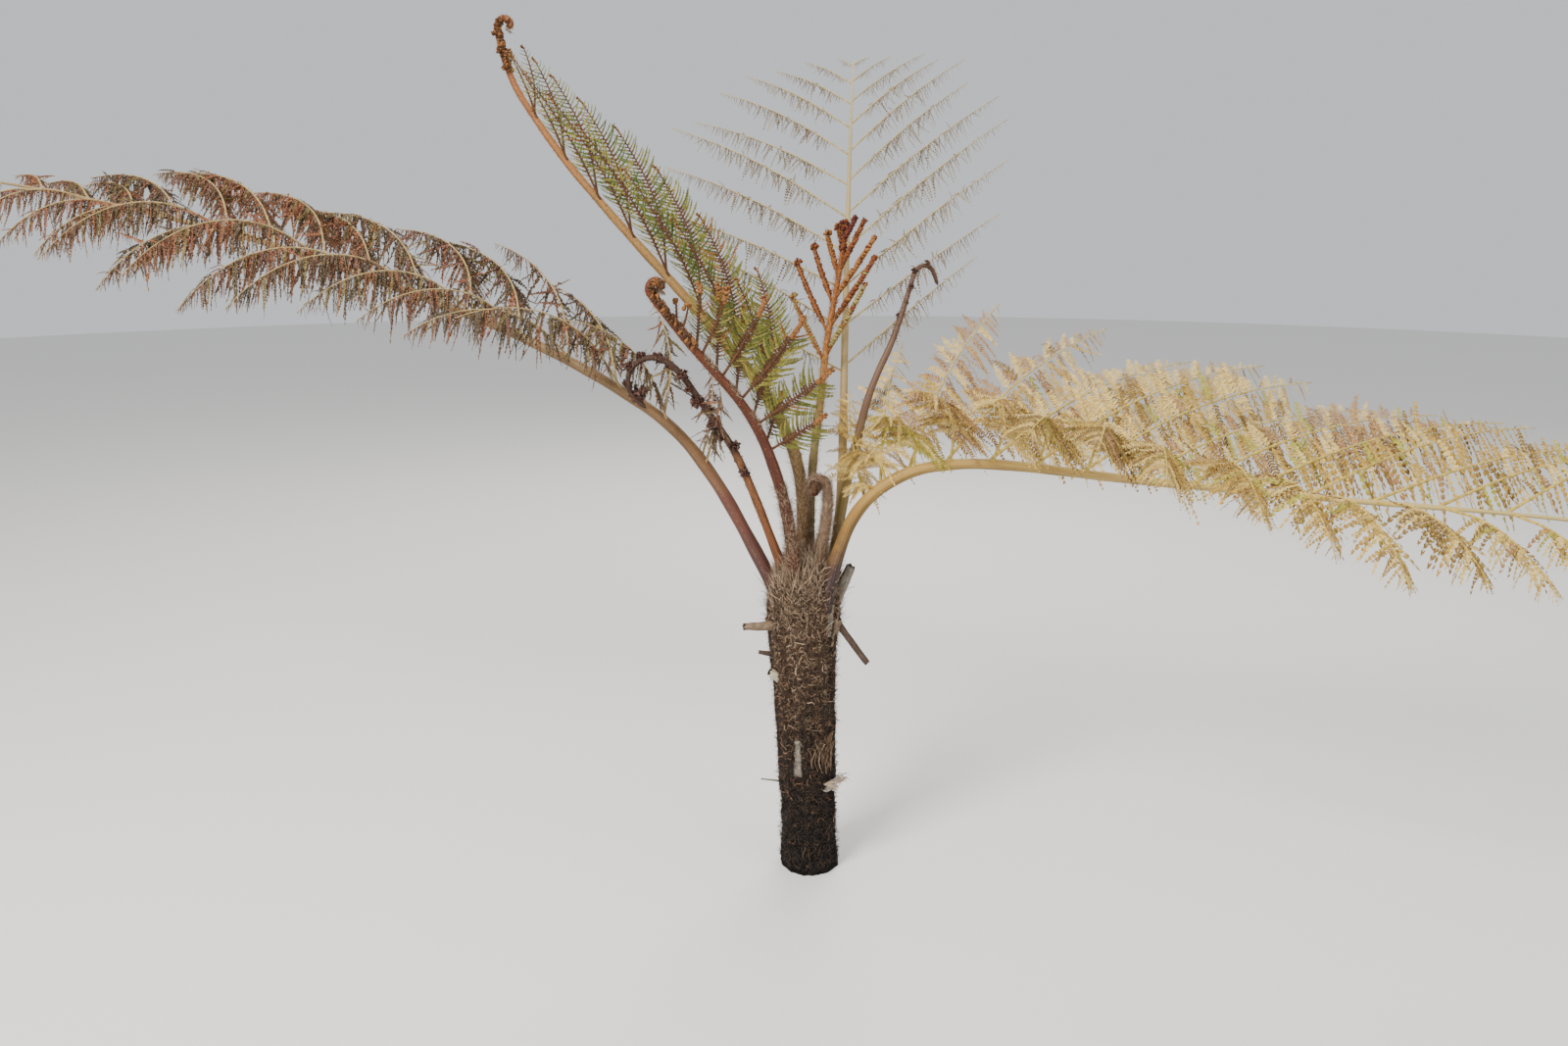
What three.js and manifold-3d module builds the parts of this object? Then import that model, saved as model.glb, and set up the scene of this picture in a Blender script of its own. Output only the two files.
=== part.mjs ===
// Tree fern: a young scaly tree fern with a short fibrous trunk and nine stems of every age.
// Millimetres, +Z up. The origin is the middle of the flat cut under the trunk, and +Y points
// away from the side the plant is seen from. Old fronds lie out to the left and right, younger
// ones stand in the middle, and every frond is worked out from its own few driving dimensions.

import * as THREE from 'three';
import { mergeVertices } from 'three/addons/utils/BufferGeometryUtils.js';
import Module from 'manifold-3d';

const wasm = await Module();
wasm.setup();

// Driving dimensions shared by all pieces.
const GAP = 0.3;
const TRUNK_SIDES = 26;
const STEM_SIDES = 7;
const RIB_SIDES = 6;
const CURL_STEP = 12;
const UP = new THREE.Vector3(0, 0, 1);

// The trunk from its flat cut to the top of the crown: height, lean of the middle in X, radius.
const TRUNK = [
  { z: 0, x: 0, r: 64 },
  { z: 45, x: -1, r: 59 },
  { z: 130, x: -4, r: 58 },
  { z: 215, x: -6, r: 60 },
  { z: 300, x: -8, r: 60 },
  { z: 385, x: -10, r: 61 },
  { z: 455, x: -13, r: 65 },
  { z: 520, x: -15, r: 70 },
  { z: 580, x: -15, r: 73 },
  { z: 630, x: -14, r: 74 },
  { z: 668, x: -12, r: 67 },
  { z: 694, x: -10, r: 52 },
  { z: 708, x: -8, r: 30 },
];
const TRUNK_TOP = { z: 713, x: -8 };
const DOME_FOOT = 640;
const BULGE = { count: 9, height: 420, depth: 0.055 };

// Broken leaf bases and side stubs that stay on the trunk. azimuth is seen from above, counted
// from +X towards +Y, and rise is the slope of the stub above level.
const STUBS = [
  { azimuth: 196, z: 546, length: 58, radius: 8, rise: 4 },
  { azimuth: 208, z: 470, length: 22, radius: 8, rise: 46 },
  { azimuth: 222, z: 424, length: 26, radius: 11, rise: 58 },
  { azimuth: 250, z: 236, length: 66, radius: 12, rise: 84 },
  { azimuth: 352, z: 592, length: 96, radius: 11, rise: 68 },
  { azimuth: 338, z: 528, length: 44, radius: 12, rise: 70 },
  { azimuth: 300, z: 470, length: 24, radius: 14, rise: 66 },
  { azimuth: 72, z: 486, length: 38, radius: 12, rise: 62 },
  { azimuth: 118, z: 404, length: 28, radius: 12, rise: 64 },
  { azimuth: 158, z: 520, length: 40, radius: 11, rise: 62 },
];

// A frond's stem starts at foot, with its heading seen from above, and climbs by the slopes in
// rise, one for each even step. curl rolls the tip up by turn degrees, from a wide radius to a
// tight one. radius runs from the base to the tip. Leaflets stand in pairs from the rib. Each
// value of a leaflet that changes along the frond is given at the first pair, in the middle and
// at the last pair: length, width, spread (away from the rib), lift (above the frond's own
// plane), sag (how far it bows down), sweep (how far it bends to the frond's tip) and fold (how
// far its two halves hang from its own rib). stray is how many degrees a leaflet may be off, and
// a crowd above 1 draws the pairs together towards the frond's base.
const FRONDS = [
  {
    name: 'left_frond',
    foot: [-58, 4, 604],
    heading: [168],
    step: 146,
    rise: [62, 61, 52, 33, 27, 24, 19, 18, 18, 15, 13, 12, 11, 10, 7, 2],
    radius: [15.5, 2],
    tubeStep: 80,
    cuts: [300, 980],
    pieces: ['left_frond_stalk', 'left_frond_inner', 'left_frond_outer'],
    colours: [0x6f4c38, 0x8c624e, 0x8c624e],
    leaflets: {
      from: 340, to: 2220, pairs: 17, stray: 9,
      width: [90, 120, 34], spread: [56, 50, 42],
      left: {
        length: [330, 450, 60], lift: [50, 26, 0], sag: [1.6, 2.6, 0.9], sweep: [0.7, 1, 0.3], fold: [66, 62, 40],
      },
      right: {
        length: [250, 420, 60], lift: [50, 44, 16], sag: [0.9, 1.3, 0.5], sweep: [0.9, 2, 0.4], fold: [66, 62, 40],
      },
    },
  },
  {
    name: 'right_frond',
    foot: [26, -42, 606],
    heading: [-8],
    step: 122,
    rise: [78, 68, 36, 8, -3, -6, -5, -4, -4, -4, -3, -3, -4, -5, -8, -12],
    radius: [15, 1.8],
    tubeStep: 70,
    cuts: [246, 930],
    pieces: ['right_frond_stalk', 'right_frond_inner', 'right_frond_outer'],
    colours: [0x9c7a38, 0xcdb27c, 0xcdb27c],
    leaflets: {
      from: 255, to: 1915, pairs: 17, crowd: 1.33, stray: 4,
      left: {
        length: [270, 690, 60], width: [120, 160, 44], spread: [66, 38, 38],
        lift: [52, 32, 50], sag: [0.5, 0.42, 0.4], sweep: [0.5, 0.2, 0.1], fold: [62, 66, 40],
      },
      right: {
        length: [60, 400, 50], width: [60, 150, 44], spread: [56, 86, 36],
        lift: [88, 30, -20], sag: [1.2, 1.8, 0.3], sweep: [-2.2, -0.1, 0.3], fold: [50, 55, 40],
      },
    },
  },
  {
    name: 'front_frond',
    foot: [-25, -47, 612],
    heading: [208],
    step: 63,
    rise: [83, 82, 82, 77, 71, 68, 60, 52, 47, 47, 50, 52],
    curl: { turn: 250, radius: [18, 11] },
    radius: [14.5, 6.5],
    tubeStep: 48,
    cuts: [330],
    pieces: ['front_frond_stalk', 'front_frond_blade'],
    colours: [0x5f3220, 0x8e8038],
    tip: { radius: 10, flat: 0.8 },
    leaflets: {
      from: 350, to: 660, pairs: 6, stray: 3,
      length: [165, 232, 72], width: [92, 94, 20], spread: [74, 70, 58],
      left: { lift: [48, 54, 64], sag: [0.1, 0, -0.2], sweep: [0.1, 0.2, 0.4], fold: [8, 8, 10] },
      right: { lift: [52, 56, 64], sag: [0.1, 0, -0.2], sweep: [0.1, 0.2, 0.4], fold: [8, 8, 10] },
    },
  },
  {
    name: 'tall_frond',
    foot: [-19, 22, 622],
    heading: [165],
    step: 99,
    rise: [90, 92, 82, 66, 55, 48, 47, 46, 46, 47, 48, 53, 56, 76],
    curl: { turn: 240, radius: [22, 11] },
    radius: [14.5, 6],
    tubeStep: 62,
    cuts: [400, 905],
    pieces: ['tall_frond_stalk', 'tall_frond_lower', 'tall_frond_upper'],
    colours: [0x7f6a33, 0x8f8640, 0x9a8038],
    tip: { radius: 11, flat: 0.9 },
    leaflets: {
      from: 430, to: 1290, pairs: 9, stray: 2,
      length: [300, 360, 60], width: [92, 82, 18], spread: [45, 36, 34],
      left: { lift: [48, 48, 56], sag: [0, 0, 0], sweep: [1.6, 2.2, 1.2], fold: [8, 8, 12] },
      right: { lift: [48, 48, 56], sag: [0, 0, 0], sweep: [1.6, 2.2, 1.2], fold: [8, 8, 12] },
    },
  },
  {
    name: 'red_frond',
    foot: [-3, 52, 616],
    heading: [60],
    step: 80,
    rise: [89, 89, 86, 81, 73, 79, 76, 69, 68, 80],
    radius: [12, 4.5],
    tubeStep: 66,
    cuts: [480],
    pieces: ['red_frond_stalk', 'red_frond_blade'],
    colours: [0x9a7a45, 0xa4571f],
    tip: { radius: 10, flat: 1.2 },
    leaflets: {
      from: 500, to: 745, pairs: 5, stray: 4,
      length: [185, 165, 70], width: [44, 38, 16], spread: [36, 30, 22],
      left: { lift: [14, 10, 0], sag: [-0.2, -0.2, -0.1], sweep: [0.1, 0.1, 0], fold: [20, 20, 20] },
      right: { lift: [14, 10, 0], sag: [-0.2, -0.2, -0.1], sweep: [0.1, 0.1, 0], fold: [20, 20, 20] },
    },
  },
  {
    name: 'back_frond',
    foot: [38, 52, 606],
    heading: [28, 62, 84, 86, 86],
    step: 122,
    rise: [80, 80, 78, 72, 66, 60, 55, 50, 45, 40, 34, 28],
    radius: [12, 1.8],
    tubeStep: 72,
    cuts: [470, 950],
    pieces: ['back_frond_stalk', 'back_frond_lower', 'back_frond_upper'],
    colours: [0x8a774f, 0x93836a, 0x93836a],
    leaflets: {
      from: 490, to: 1420, pairs: 11, stray: 4,
      length: [380, 420, 60], width: [52, 58, 20],
      left: {
        spread: [64, 58, 42], lift: [12, 8, 6], sag: [0.3, 0.4, 0.3], sweep: [0.1, 0, 0], fold: [68, 66, 40],
      },
      right: {
        spread: [52, 44, 34], lift: [12, 10, 6], sag: [0.2, 0.3, 0.3], sweep: [0.1, 0, 0], fold: [68, 66, 40],
      },
    },
  },
  {
    name: 'small_crozier',
    foot: [22, -13, 640],
    heading: [180],
    step: 25,
    rise: [84, 86, 90, 100, 101, 99, 97, 93, 84],
    curl: { turn: -300, radius: [22, 11] },
    radius: [14, 8],
    tubeStep: 22,
    cuts: [],
    pieces: ['small_crozier'],
    colours: [0xb39a7c],
    tip: { radius: 9, flat: 1 },
  },
  {
    name: 'dead_crozier',
    foot: [-31, -10, 612],
    heading: [193],
    step: 51,
    rise: [69, 69, 70, 70, 69, 68, 66, 58, 55, 57, 55, 38, -16, -80, -138],
    radius: [11, 5],
    tubeStep: 40,
    cuts: [560],
    pieces: ['dead_crozier_stalk', 'dead_crozier_hook'],
    colours: [0x8a5230, 0x4f3426],
    tip: { radius: 15, flat: 1 },
    knobs: { from: 250, to: 730, count: 9, radius: 15, seed: 4 },
  },
  {
    name: 'dying_stem',
    foot: [40, 20, 614],
    heading: [28],
    step: 62,
    rise: [82, 82, 81, 78, 75, 75, 74, 66, 60, 68, 71, 70, -66],
    radius: [14, 4],
    tubeStep: 50,
    cuts: [],
    pieces: ['dying_stem'],
    colours: [0x6d5733],
    tip: { radius: 9, flat: 1 },
    knobs: { from: 620, to: 750, count: 3, radius: 11, seed: 9 },
  },
];

// Small helpers.

/** Steady scatter between -1 and 1 for a whole number. */
function scatter(number) {
  const wave = Math.sin(number * 12.9898) * 43758.5453;
  return 2 * (wave - Math.floor(wave)) - 1;
}

/** Value at share u of a quantity given at the first, the middle and the last place. */
function between([first, middle, last], u) {
  return first * (1 - u) * (1 - 2 * u) + 4 * middle * u * (1 - u) + last * u * (2 * u - 1);
}

/** Value at place t of a list with one entry for each whole number, held flat past its ends. */
function along(list, t) {
  const held = Math.min(Math.max(t, 0), list.length - 1);
  const i = Math.min(Math.floor(held), list.length - 2);
  return list.length === 1 ? list[0] : THREE.MathUtils.lerp(list[i], list[i + 1], held - i);
}

/**
 * Closed body through rings of equal count, with a flat fan or a single point at each end.
 * Rings of four are blades: both skins are split along the same diagonal, so a twist can't cross them.
 */
function loft(rings) {
  const points = rings.flat();
  const count = rings[0].length;
  const faces = [];
  for (let i = 0; i + 1 < rings.length; i += 1) {
    for (let j = 0; j < count; j += 1) {
      const k = (j + 1) % count;
      const a = i * count;
      const b = (i + 1) * count;
      if (count === 4 && j % 2 === 1) {
        faces.push(a + j, a + k, b + j, a + k, b + k, b + j);
      } else {
        faces.push(a + j, a + k, b + k, a + j, b + k, b + j);
      }
    }
  }
  const last = (rings.length - 1) * count;
  for (let j = 1; j + 1 < count; j += 1) {
    faces.push(0, j + 1, j);
    faces.push(last, last + j, last + j + 1);
  }
  const geometry = new THREE.BufferGeometry();
  geometry.setAttribute('position', new THREE.Float32BufferAttribute(points.flatMap((p) => p.toArray()), 3));
  geometry.setIndex(faces);
  return geometry;
}

/** Solid from a closed geometry, with its faces turned outwards. */
function solidFrom(geometry) {
  const bare = geometry.clone();
  bare.deleteAttribute('normal');
  bare.deleteAttribute('uv');
  const merged = mergeVertices(bare, 1e-4);
  const position = merged.getAttribute('position').array;
  const index = Array.from(merged.index.array);
  const corners = [];
  for (let i = 0; i < index.length; i += 3) {
    const [a, b, c] = [index[i], index[i + 1], index[i + 2]];
    if (a !== b && b !== c && c !== a) {
      corners.push(a, b, c);
    }
  }
  let volume = 0;
  const at = (i) => new THREE.Vector3().fromArray(position, 3 * i);
  for (let i = 0; i < corners.length; i += 3) {
    volume += at(corners[i]).dot(at(corners[i + 1]).cross(at(corners[i + 2])));
  }
  if (volume < 0) {
    corners.reverse();
  }
  const mesh = new wasm.Mesh({
    numProp: 3,
    vertProperties: new Float32Array(position),
    triVerts: new Uint32Array(corners),
  });
  return new wasm.Manifold(mesh);
}

/** The largest body of a solid: hollows sealed by joining are filled and loose scraps dropped. */
function mainBody(solid) {
  const bodies = solid.decompose();
  return bodies.reduce((best, body) => (body.volume() > best.volume() ? body : best));
}

// Stems.

/** Length of a stem up to its curl, and of the curl, which tightens evenly as it winds. */
const plainLength = (frond) => frond.step * frond.rise.length;
const curlLength = ({ curl }) => {
  const [wide, tight] = curl ? curl.radius : [1, 2];
  const turn = curl ? THREE.MathUtils.degToRad(Math.abs(curl.turn)) : 0;
  return turn * (tight - wide) / Math.log(tight / wide);
};
const stemLength = (frond) => plainLength(frond) + curlLength(frond);

/** Slope of a stem at distance s, in degrees. */
function riseAt(frond, s) {
  const past = s - plainLength(frond);
  if (!frond.curl || past <= 0) {
    return along(frond.rise, s / frond.step - 0.5);
  }
  const [wide, tight] = frond.curl.radius;
  const wound = Math.log(1 + (tight / wide - 1) * past / curlLength(frond)) / Math.log(tight / wide);
  return frond.rise[frond.rise.length - 1] + frond.curl.turn * wound;
}

/** Unit vectors of a frond at distance s: along the rib, to its left, and up from its plane. */
function frameAt(frond, s) {
  const heading = THREE.MathUtils.degToRad(along(frond.heading, s / frond.step - 0.5));
  const rise = THREE.MathUtils.degToRad(riseAt(frond, s));
  const out = new THREE.Vector3(Math.cos(heading), Math.sin(heading), 0);
  const tangent = out.clone().multiplyScalar(Math.cos(rise)).addScaledVector(UP, Math.sin(rise));
  const left = UP.clone().cross(out);
  const above = out.clone().multiplyScalar(-Math.sin(rise)).addScaledVector(UP, Math.cos(rise));
  return { tangent, left, above };
}

/** Walks a frond's stem and returns a function that gives the place at distance s. */
function stemPath(frond) {
  const walk = 3;
  const places = [new THREE.Vector3(...frond.foot)];
  for (let s = 0; s < stemLength(frond); s += walk) {
    const { tangent } = frameAt(frond, s + walk / 2);
    places.push(places[places.length - 1].clone().addScaledVector(tangent, walk));
  }
  return (s) => {
    const t = Math.max(s / walk, 0);
    const i = Math.min(Math.floor(t), places.length - 2);
    return places[i].clone().lerp(places[i + 1], t - i);
  };
}

function stemRadius(frond, s) {
  const [base, tip] = frond.radius;
  const share = Math.min(s / stemLength(frond), 1);
  const swell = 1 + 0.25 * Math.exp(-s / 45);
  return (tip + (base - tip) * Math.pow(1 - share, 1.15)) * swell;
}

/** Tube of a stem from one distance to another. */
function stemTube(frond, place, from, to, sides) {
  const bend = Math.min(to, plainLength(frond));
  const plain = Math.max(2, Math.round((bend - from) / frond.tubeStep));
  const wound = Math.ceil((to - bend) / CURL_STEP);
  const distances = [
    ...Array.from({ length: plain + 1 }, (_, i) => from + (bend - from) * i / plain),
    ...Array.from({ length: wound }, (_, i) => bend + (to - bend) * (i + 1) / wound),
  ];
  const rings = [];
  for (const s of distances) {
    const { left, above } = frameAt(frond, s);
    const radius = stemRadius(frond, s);
    const ring = [];
    for (let j = 0; j < sides; j += 1) {
      const angle = 2 * Math.PI * j / sides;
      ring.push(place(s)
        .addScaledVector(left, radius * Math.cos(angle))
        .addScaledVector(above, radius * Math.sin(angle)));
    }
    rings.push(ring);
  }
  return solidFrom(loft(rings));
}

/** Rounded lump, flattened across the frond by the share flat. */
function lump(centre, radius, flat, frame) {
  const ball = new THREE.SphereGeometry(1, 7, 5);
  const basis = new THREE.Matrix4().makeBasis(
    frame.tangent.clone().multiplyScalar(radius),
    frame.left.clone().multiplyScalar(radius * flat),
    frame.above.clone().multiplyScalar(radius),
  );
  ball.applyMatrix4(basis.setPosition(centre));
  return solidFrom(ball);
}

// Leaflets.

/** Thin closed blade of one leaflet, from the rib's middle to the leaflet's tip. */
function leafletSolid(frond, place, s, side, values, share) {
  const { tangent, left, above } = frameAt(frond, s);
  const outward = left.clone().multiplyScalar(side);
  const spread = THREE.MathUtils.degToRad(values.spread);
  const lift = THREE.MathUtils.degToRad(values.lift);
  const fold = THREE.MathUtils.degToRad(values.fold);
  const length = values.length * share;
  const thick = Math.max(3, length / 90);
  const direction = tangent.clone().multiplyScalar(Math.cos(spread))
    .addScaledVector(outward, Math.sin(spread) * Math.cos(lift))
    .addScaledVector(above, Math.sin(spread) * Math.sin(lift));
  const stations = [0, 0.13, 0.3, 0.46, 0.62, 0.78, 0.9];
  const widths = [0.07, 0.07, 0.95, 0.95, 0.9, 0.6, 0.3];
  const point = place(s);
  const rings = [];
  for (let i = 0; i < stations.length; i += 1) {
    const next = i + 1 < stations.length ? stations[i + 1] : 1;
    const reach = length * (next - stations[i]);
    const across = tangent.clone().addScaledVector(direction, -tangent.dot(direction)).normalize();
    const face = across.clone().cross(direction).multiplyScalar(side);
    const half = Math.max(values.width * share * widths[i] / 2, thick / 2);
    const out = across.clone().multiplyScalar(half * Math.cos(fold));
    const hang = face.clone().multiplyScalar(-half * Math.sin(fold));
    const ridge = face.clone().multiplyScalar(thick / 2);
    rings.push([
      point.clone().add(ridge),
      point.clone().add(out).add(hang),
      point.clone().sub(ridge),
      point.clone().sub(out).add(hang),
    ]);
    point.addScaledVector(direction, reach);
    const bend = i > 0 ? reach / length : 0;
    direction.addScaledVector(UP, -values.sag * bend)
      .addScaledVector(tangent, values.sweep * bend)
      .normalize();
  }
  rings.push(rings[0].map(() => point.clone()));
  return solidFrom(loft(rings));
}

/** Values of one leaflet of a frond: pair is its number from the frond's base. */
function leafletValues(frond, side, pair) {
  const { leaflets } = frond;
  const given = { ...leaflets, ...(side > 0 ? leaflets.left : leaflets.right) };
  const names = ['length', 'width', 'spread', 'lift', 'sag', 'sweep', 'fold'];
  const u = pair / (leaflets.pairs - 1);
  const values = Object.fromEntries(names.map((name) => [name, between(given[name], u)]));
  const number = 2 * pair + (side > 0 ? 0 : 1) + 100 * FRONDS.indexOf(frond);
  values.spread += leaflets.stray * scatter(number + 1000);
  values.lift += leaflets.stray * scatter(number + 2000);
  values.length *= 1 + 0.012 * leaflets.stray * scatter(number + 3000);
  return values;
}

// Trunk.

/** The trunk's own body, made larger all round by grow: out at its sides and up at its dome. */
function trunkSolid(grow) {
  const rings = TRUNK.map(({ z, x, r }) => {
    const ring = [];
    const height = z > DOME_FOOT ? z + grow : z;
    for (let j = 0; j < TRUNK_SIDES; j += 1) {
      const angle = 2 * Math.PI * j / TRUNK_SIDES;
      const share = THREE.MathUtils.smoothstep(z, 60, BULGE.height) * BULGE.depth;
      const twist = z / 160;
      const radius = r * (1 + share * Math.cos(BULGE.count * angle + twist)
        + 0.02 * Math.sin(3 * angle + z / 90)) + grow;
      ring.push(new THREE.Vector3(x + radius * Math.cos(angle), radius * Math.sin(angle), height));
    }
    return ring;
  });
  rings.push(rings[0].map(() => new THREE.Vector3(TRUNK_TOP.x, 0, TRUNK_TOP.z + grow)));
  return solidFrom(loft(rings));
}

/** Middle of the trunk and its radius at a height. */
function trunkAt(z) {
  const i = Math.max(TRUNK.findIndex((ring) => ring.z > z) - 1, 0);
  const u = (z - TRUNK[i].z) / (TRUNK[i + 1].z - TRUNK[i].z);
  return {
    x: THREE.MathUtils.lerp(TRUNK[i].x, TRUNK[i + 1].x, u),
    r: THREE.MathUtils.lerp(TRUNK[i].r, TRUNK[i + 1].r, u),
  };
}

function stubSolid({ azimuth, z, length, radius, rise }, grow) {
  const { x, r } = trunkAt(z);
  const turn = THREE.MathUtils.degToRad(azimuth);
  const slope = THREE.MathUtils.degToRad(rise);
  const out = new THREE.Vector3(Math.cos(turn), Math.sin(turn), 0);
  const axis = out.clone().multiplyScalar(Math.cos(slope)).addScaledVector(UP, Math.sin(slope));
  const left = UP.clone().cross(out);
  const above = axis.clone().cross(left);
  const start = new THREE.Vector3(x, 0, z).addScaledVector(out, r - 14);
  const sides = 7;
  const rings = [0, 0.6, 1].map((share, i) => {
    const size = radius * [1.25, 1, 0.85][i] + grow;
    const middle = start.clone().addScaledVector(axis, share * (length + 14) + (i === 2 ? grow : 0));
    return Array.from({ length: sides }, (_, j) => {
      const angle = 2 * Math.PI * j / sides;
      return middle.clone()
        .addScaledVector(left, size * Math.cos(angle))
        .addScaledVector(above, size * Math.sin(angle));
    });
  });
  return solidFrom(loft(rings));
}

// Putting the plant together.

const pieces = new Map();

const trunkWithStubs = (grow) => STUBS.reduce((body, stub) => body.add(stubSolid(stub, grow)), trunkSolid(grow));
pieces.set('trunk', { solid: mainBody(trunkWithStubs(0)), colour: 0x574436, roughness: 0.95, foot: [0, 0, 0] });
const trunkCutter = trunkWithStubs(GAP);

/** True if a solid comes closer than the gap to any piece other than its own. */
function touches(solid, own) {
  const box = solid.boundingBox();
  for (const [name, piece] of pieces) {
    if (name === own) {
      continue;
    }
    const other = piece.solid.boundingBox();
    const apart = [0, 1, 2].some((k) => box.min[k] > other.max[k] + 1 || other.min[k] > box.max[k] + 1);
    if (!apart && solid.minGap(piece.solid, 1) < GAP) {
      return true;
    }
  }
  return false;
}

for (const frond of FRONDS) {
  frond.place = stemPath(frond);
  const ends = [0, ...frond.cuts, stemLength(frond)];
  frond.pieces.forEach((name, i) => {
    const from = ends[i] + (i > 0 ? GAP / 2 : 0);
    const to = ends[i + 1] - (i + 1 < frond.pieces.length ? GAP / 2 : 0);
    const sides = i === 0 ? STEM_SIDES : RIB_SIDES;
    let solid = stemTube(frond, frond.place, from, to, sides);
    if (frond.tip && i + 1 === frond.pieces.length) {
      solid = solid.add(lump(frond.place(to), frond.tip.radius, frond.tip.flat, frameAt(frond, to)));
    }
    if (i === 0) {
      solid = solid.subtract(trunkCutter);
    }
    const foot = frond.place(from).toArray();
    pieces.set(name, { solid: mainBody(solid), colour: frond.colours[i], roughness: 0.8, foot });
  });
}

/** Name of the piece of a frond that holds distance s. */
function pieceAt(frond, s) {
  const i = frond.cuts.filter((cut) => cut < s).length;
  return frond.pieces[i];
}

for (const frond of FRONDS.filter(({ knobs }) => knobs)) {
  const { from, to, count, radius, seed } = frond.knobs;
  for (let i = 0; i < count; i += 1) {
    const s = from + (to - from) * i / (count - 1);
    const frame = frameAt(frond, s);
    const turn = Math.PI * scatter(seed + i);
    const size = radius * (0.85 + 0.25 * scatter(seed + i + 50));
    const middle = frond.place(s)
      .addScaledVector(frame.left, 0.7 * size * Math.cos(turn))
      .addScaledVector(frame.above, 0.7 * size * Math.sin(turn));
    const knob = lump(middle, size, 1 + 0.2 * scatter(seed + i + 90), frame);
    const name = pieceAt(frond, s);
    if (!touches(knob, name)) {
      pieces.get(name).solid = mainBody(pieces.get(name).solid.add(knob));
    }
  }
}

for (const frond of FRONDS.filter(({ leaflets }) => leaflets)) {
  const { from, to, pairs, crowd = 1 } = frond.leaflets;
  for (let i = 0; i < pairs; i += 1) {
    const u = Math.pow(i / (pairs - 1), crowd);
    for (const side of [1, -1]) {
      const s = from + (to - from) * u + (side > 0 ? 0 : 14);
      const values = leafletValues(frond, side, i);
      const name = pieceAt(frond, s);
      const blade = [1, 0.8, 0.6, 0.42]
        .map((share) => leafletSolid(frond, frond.place, s, side, values, share))
        .find((solid) => !touches(solid, name));
      if (blade) {
        pieces.get(name).solid = pieces.get(name).solid.add(blade);
      }
    }
  }
}

/** Named mesh of one piece, set at its foot. */
function pieceMesh(name, { solid, colour, roughness, foot }) {
  const { numProp, vertProperties, triVerts } = mainBody(solid).getMesh();
  const geometry = new THREE.BufferGeometry();
  const corner = (v, k) => vertProperties[v * numProp + k] - foot[k];
  const count = vertProperties.length / numProp;
  const position = new Float32Array(count * 3);
  for (let v = 0; v < count; v += 1) {
    for (let k = 0; k < 3; k += 1) {
      position[3 * v + k] = corner(v, k);
    }
  }
  geometry.setAttribute('position', new THREE.BufferAttribute(position, 3));
  geometry.setIndex(Array.from(triVerts));
  geometry.computeVertexNormals();
  const material = new THREE.MeshStandardMaterial({ color: colour, roughness, metalness: 0 });
  const mesh = new THREE.Mesh(geometry, material);
  mesh.name = name;
  mesh.position.set(...foot);
  return mesh;
}

const treeFern = new THREE.Group();
for (const [name, piece] of pieces) {
  treeFern.add(pieceMesh(name, piece));
}

export default treeFern;
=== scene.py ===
# %% [markdown]
# # A young tree fern
# The plant has a short trunk of matted root fibre and nine stems of every age, from a furry coil to
# a frond that has dried to gold. Its measured solids are loaded first and never change. Each of
# them is then replaced by finer work that grows by the same rule, so everything stays in its place.

# %% The fixed frame
import math

import bmesh
import bpy
import numpy as np
from mathutils import Matrix, Vector, noise


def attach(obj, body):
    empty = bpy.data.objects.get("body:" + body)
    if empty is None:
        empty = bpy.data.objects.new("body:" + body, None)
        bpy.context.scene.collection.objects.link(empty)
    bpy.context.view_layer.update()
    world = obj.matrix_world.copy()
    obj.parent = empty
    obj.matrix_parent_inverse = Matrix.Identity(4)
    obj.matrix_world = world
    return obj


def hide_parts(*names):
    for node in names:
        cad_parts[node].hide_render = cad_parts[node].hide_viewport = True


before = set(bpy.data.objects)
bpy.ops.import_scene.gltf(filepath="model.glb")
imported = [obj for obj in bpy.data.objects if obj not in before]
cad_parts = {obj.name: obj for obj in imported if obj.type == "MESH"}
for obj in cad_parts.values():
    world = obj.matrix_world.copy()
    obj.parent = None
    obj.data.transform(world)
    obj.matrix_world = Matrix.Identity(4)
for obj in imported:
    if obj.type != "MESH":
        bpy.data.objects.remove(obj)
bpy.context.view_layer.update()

# %% [markdown]
# ## Camera
# The photograph was taken from eye height, looking slightly down with a wide lens. A camera is only
# a place, a tilt and a lens length, so these three values are given.

# %% The camera
EYE = (-0.057, -2.67, 1.45)
LOOK_DOWN = 14
FOCAL_PIXELS = 1333
PICTURE_WIDTH = 1600

lens = bpy.data.cameras.new("lens")
lens.sensor_width = 36
lens.lens = FOCAL_PIXELS / PICTURE_WIDTH * lens.sensor_width
viewer = bpy.data.objects.new("viewer", lens)
viewer.location = EYE
viewer.rotation_euler = (math.radians(90 - LOOK_DOWN), 0, 0)
bpy.context.scene.collection.objects.link(viewer)
bpy.context.scene.camera = viewer
print("lens:", round(lens.lens, 1), "mm")

# %% [markdown]
# ## Shader sums
# A finish is a chain of nodes. Wiring each by hand makes long scripts, so one small class wraps a
# node's output and lets it take part in plain Python sums.


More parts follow.
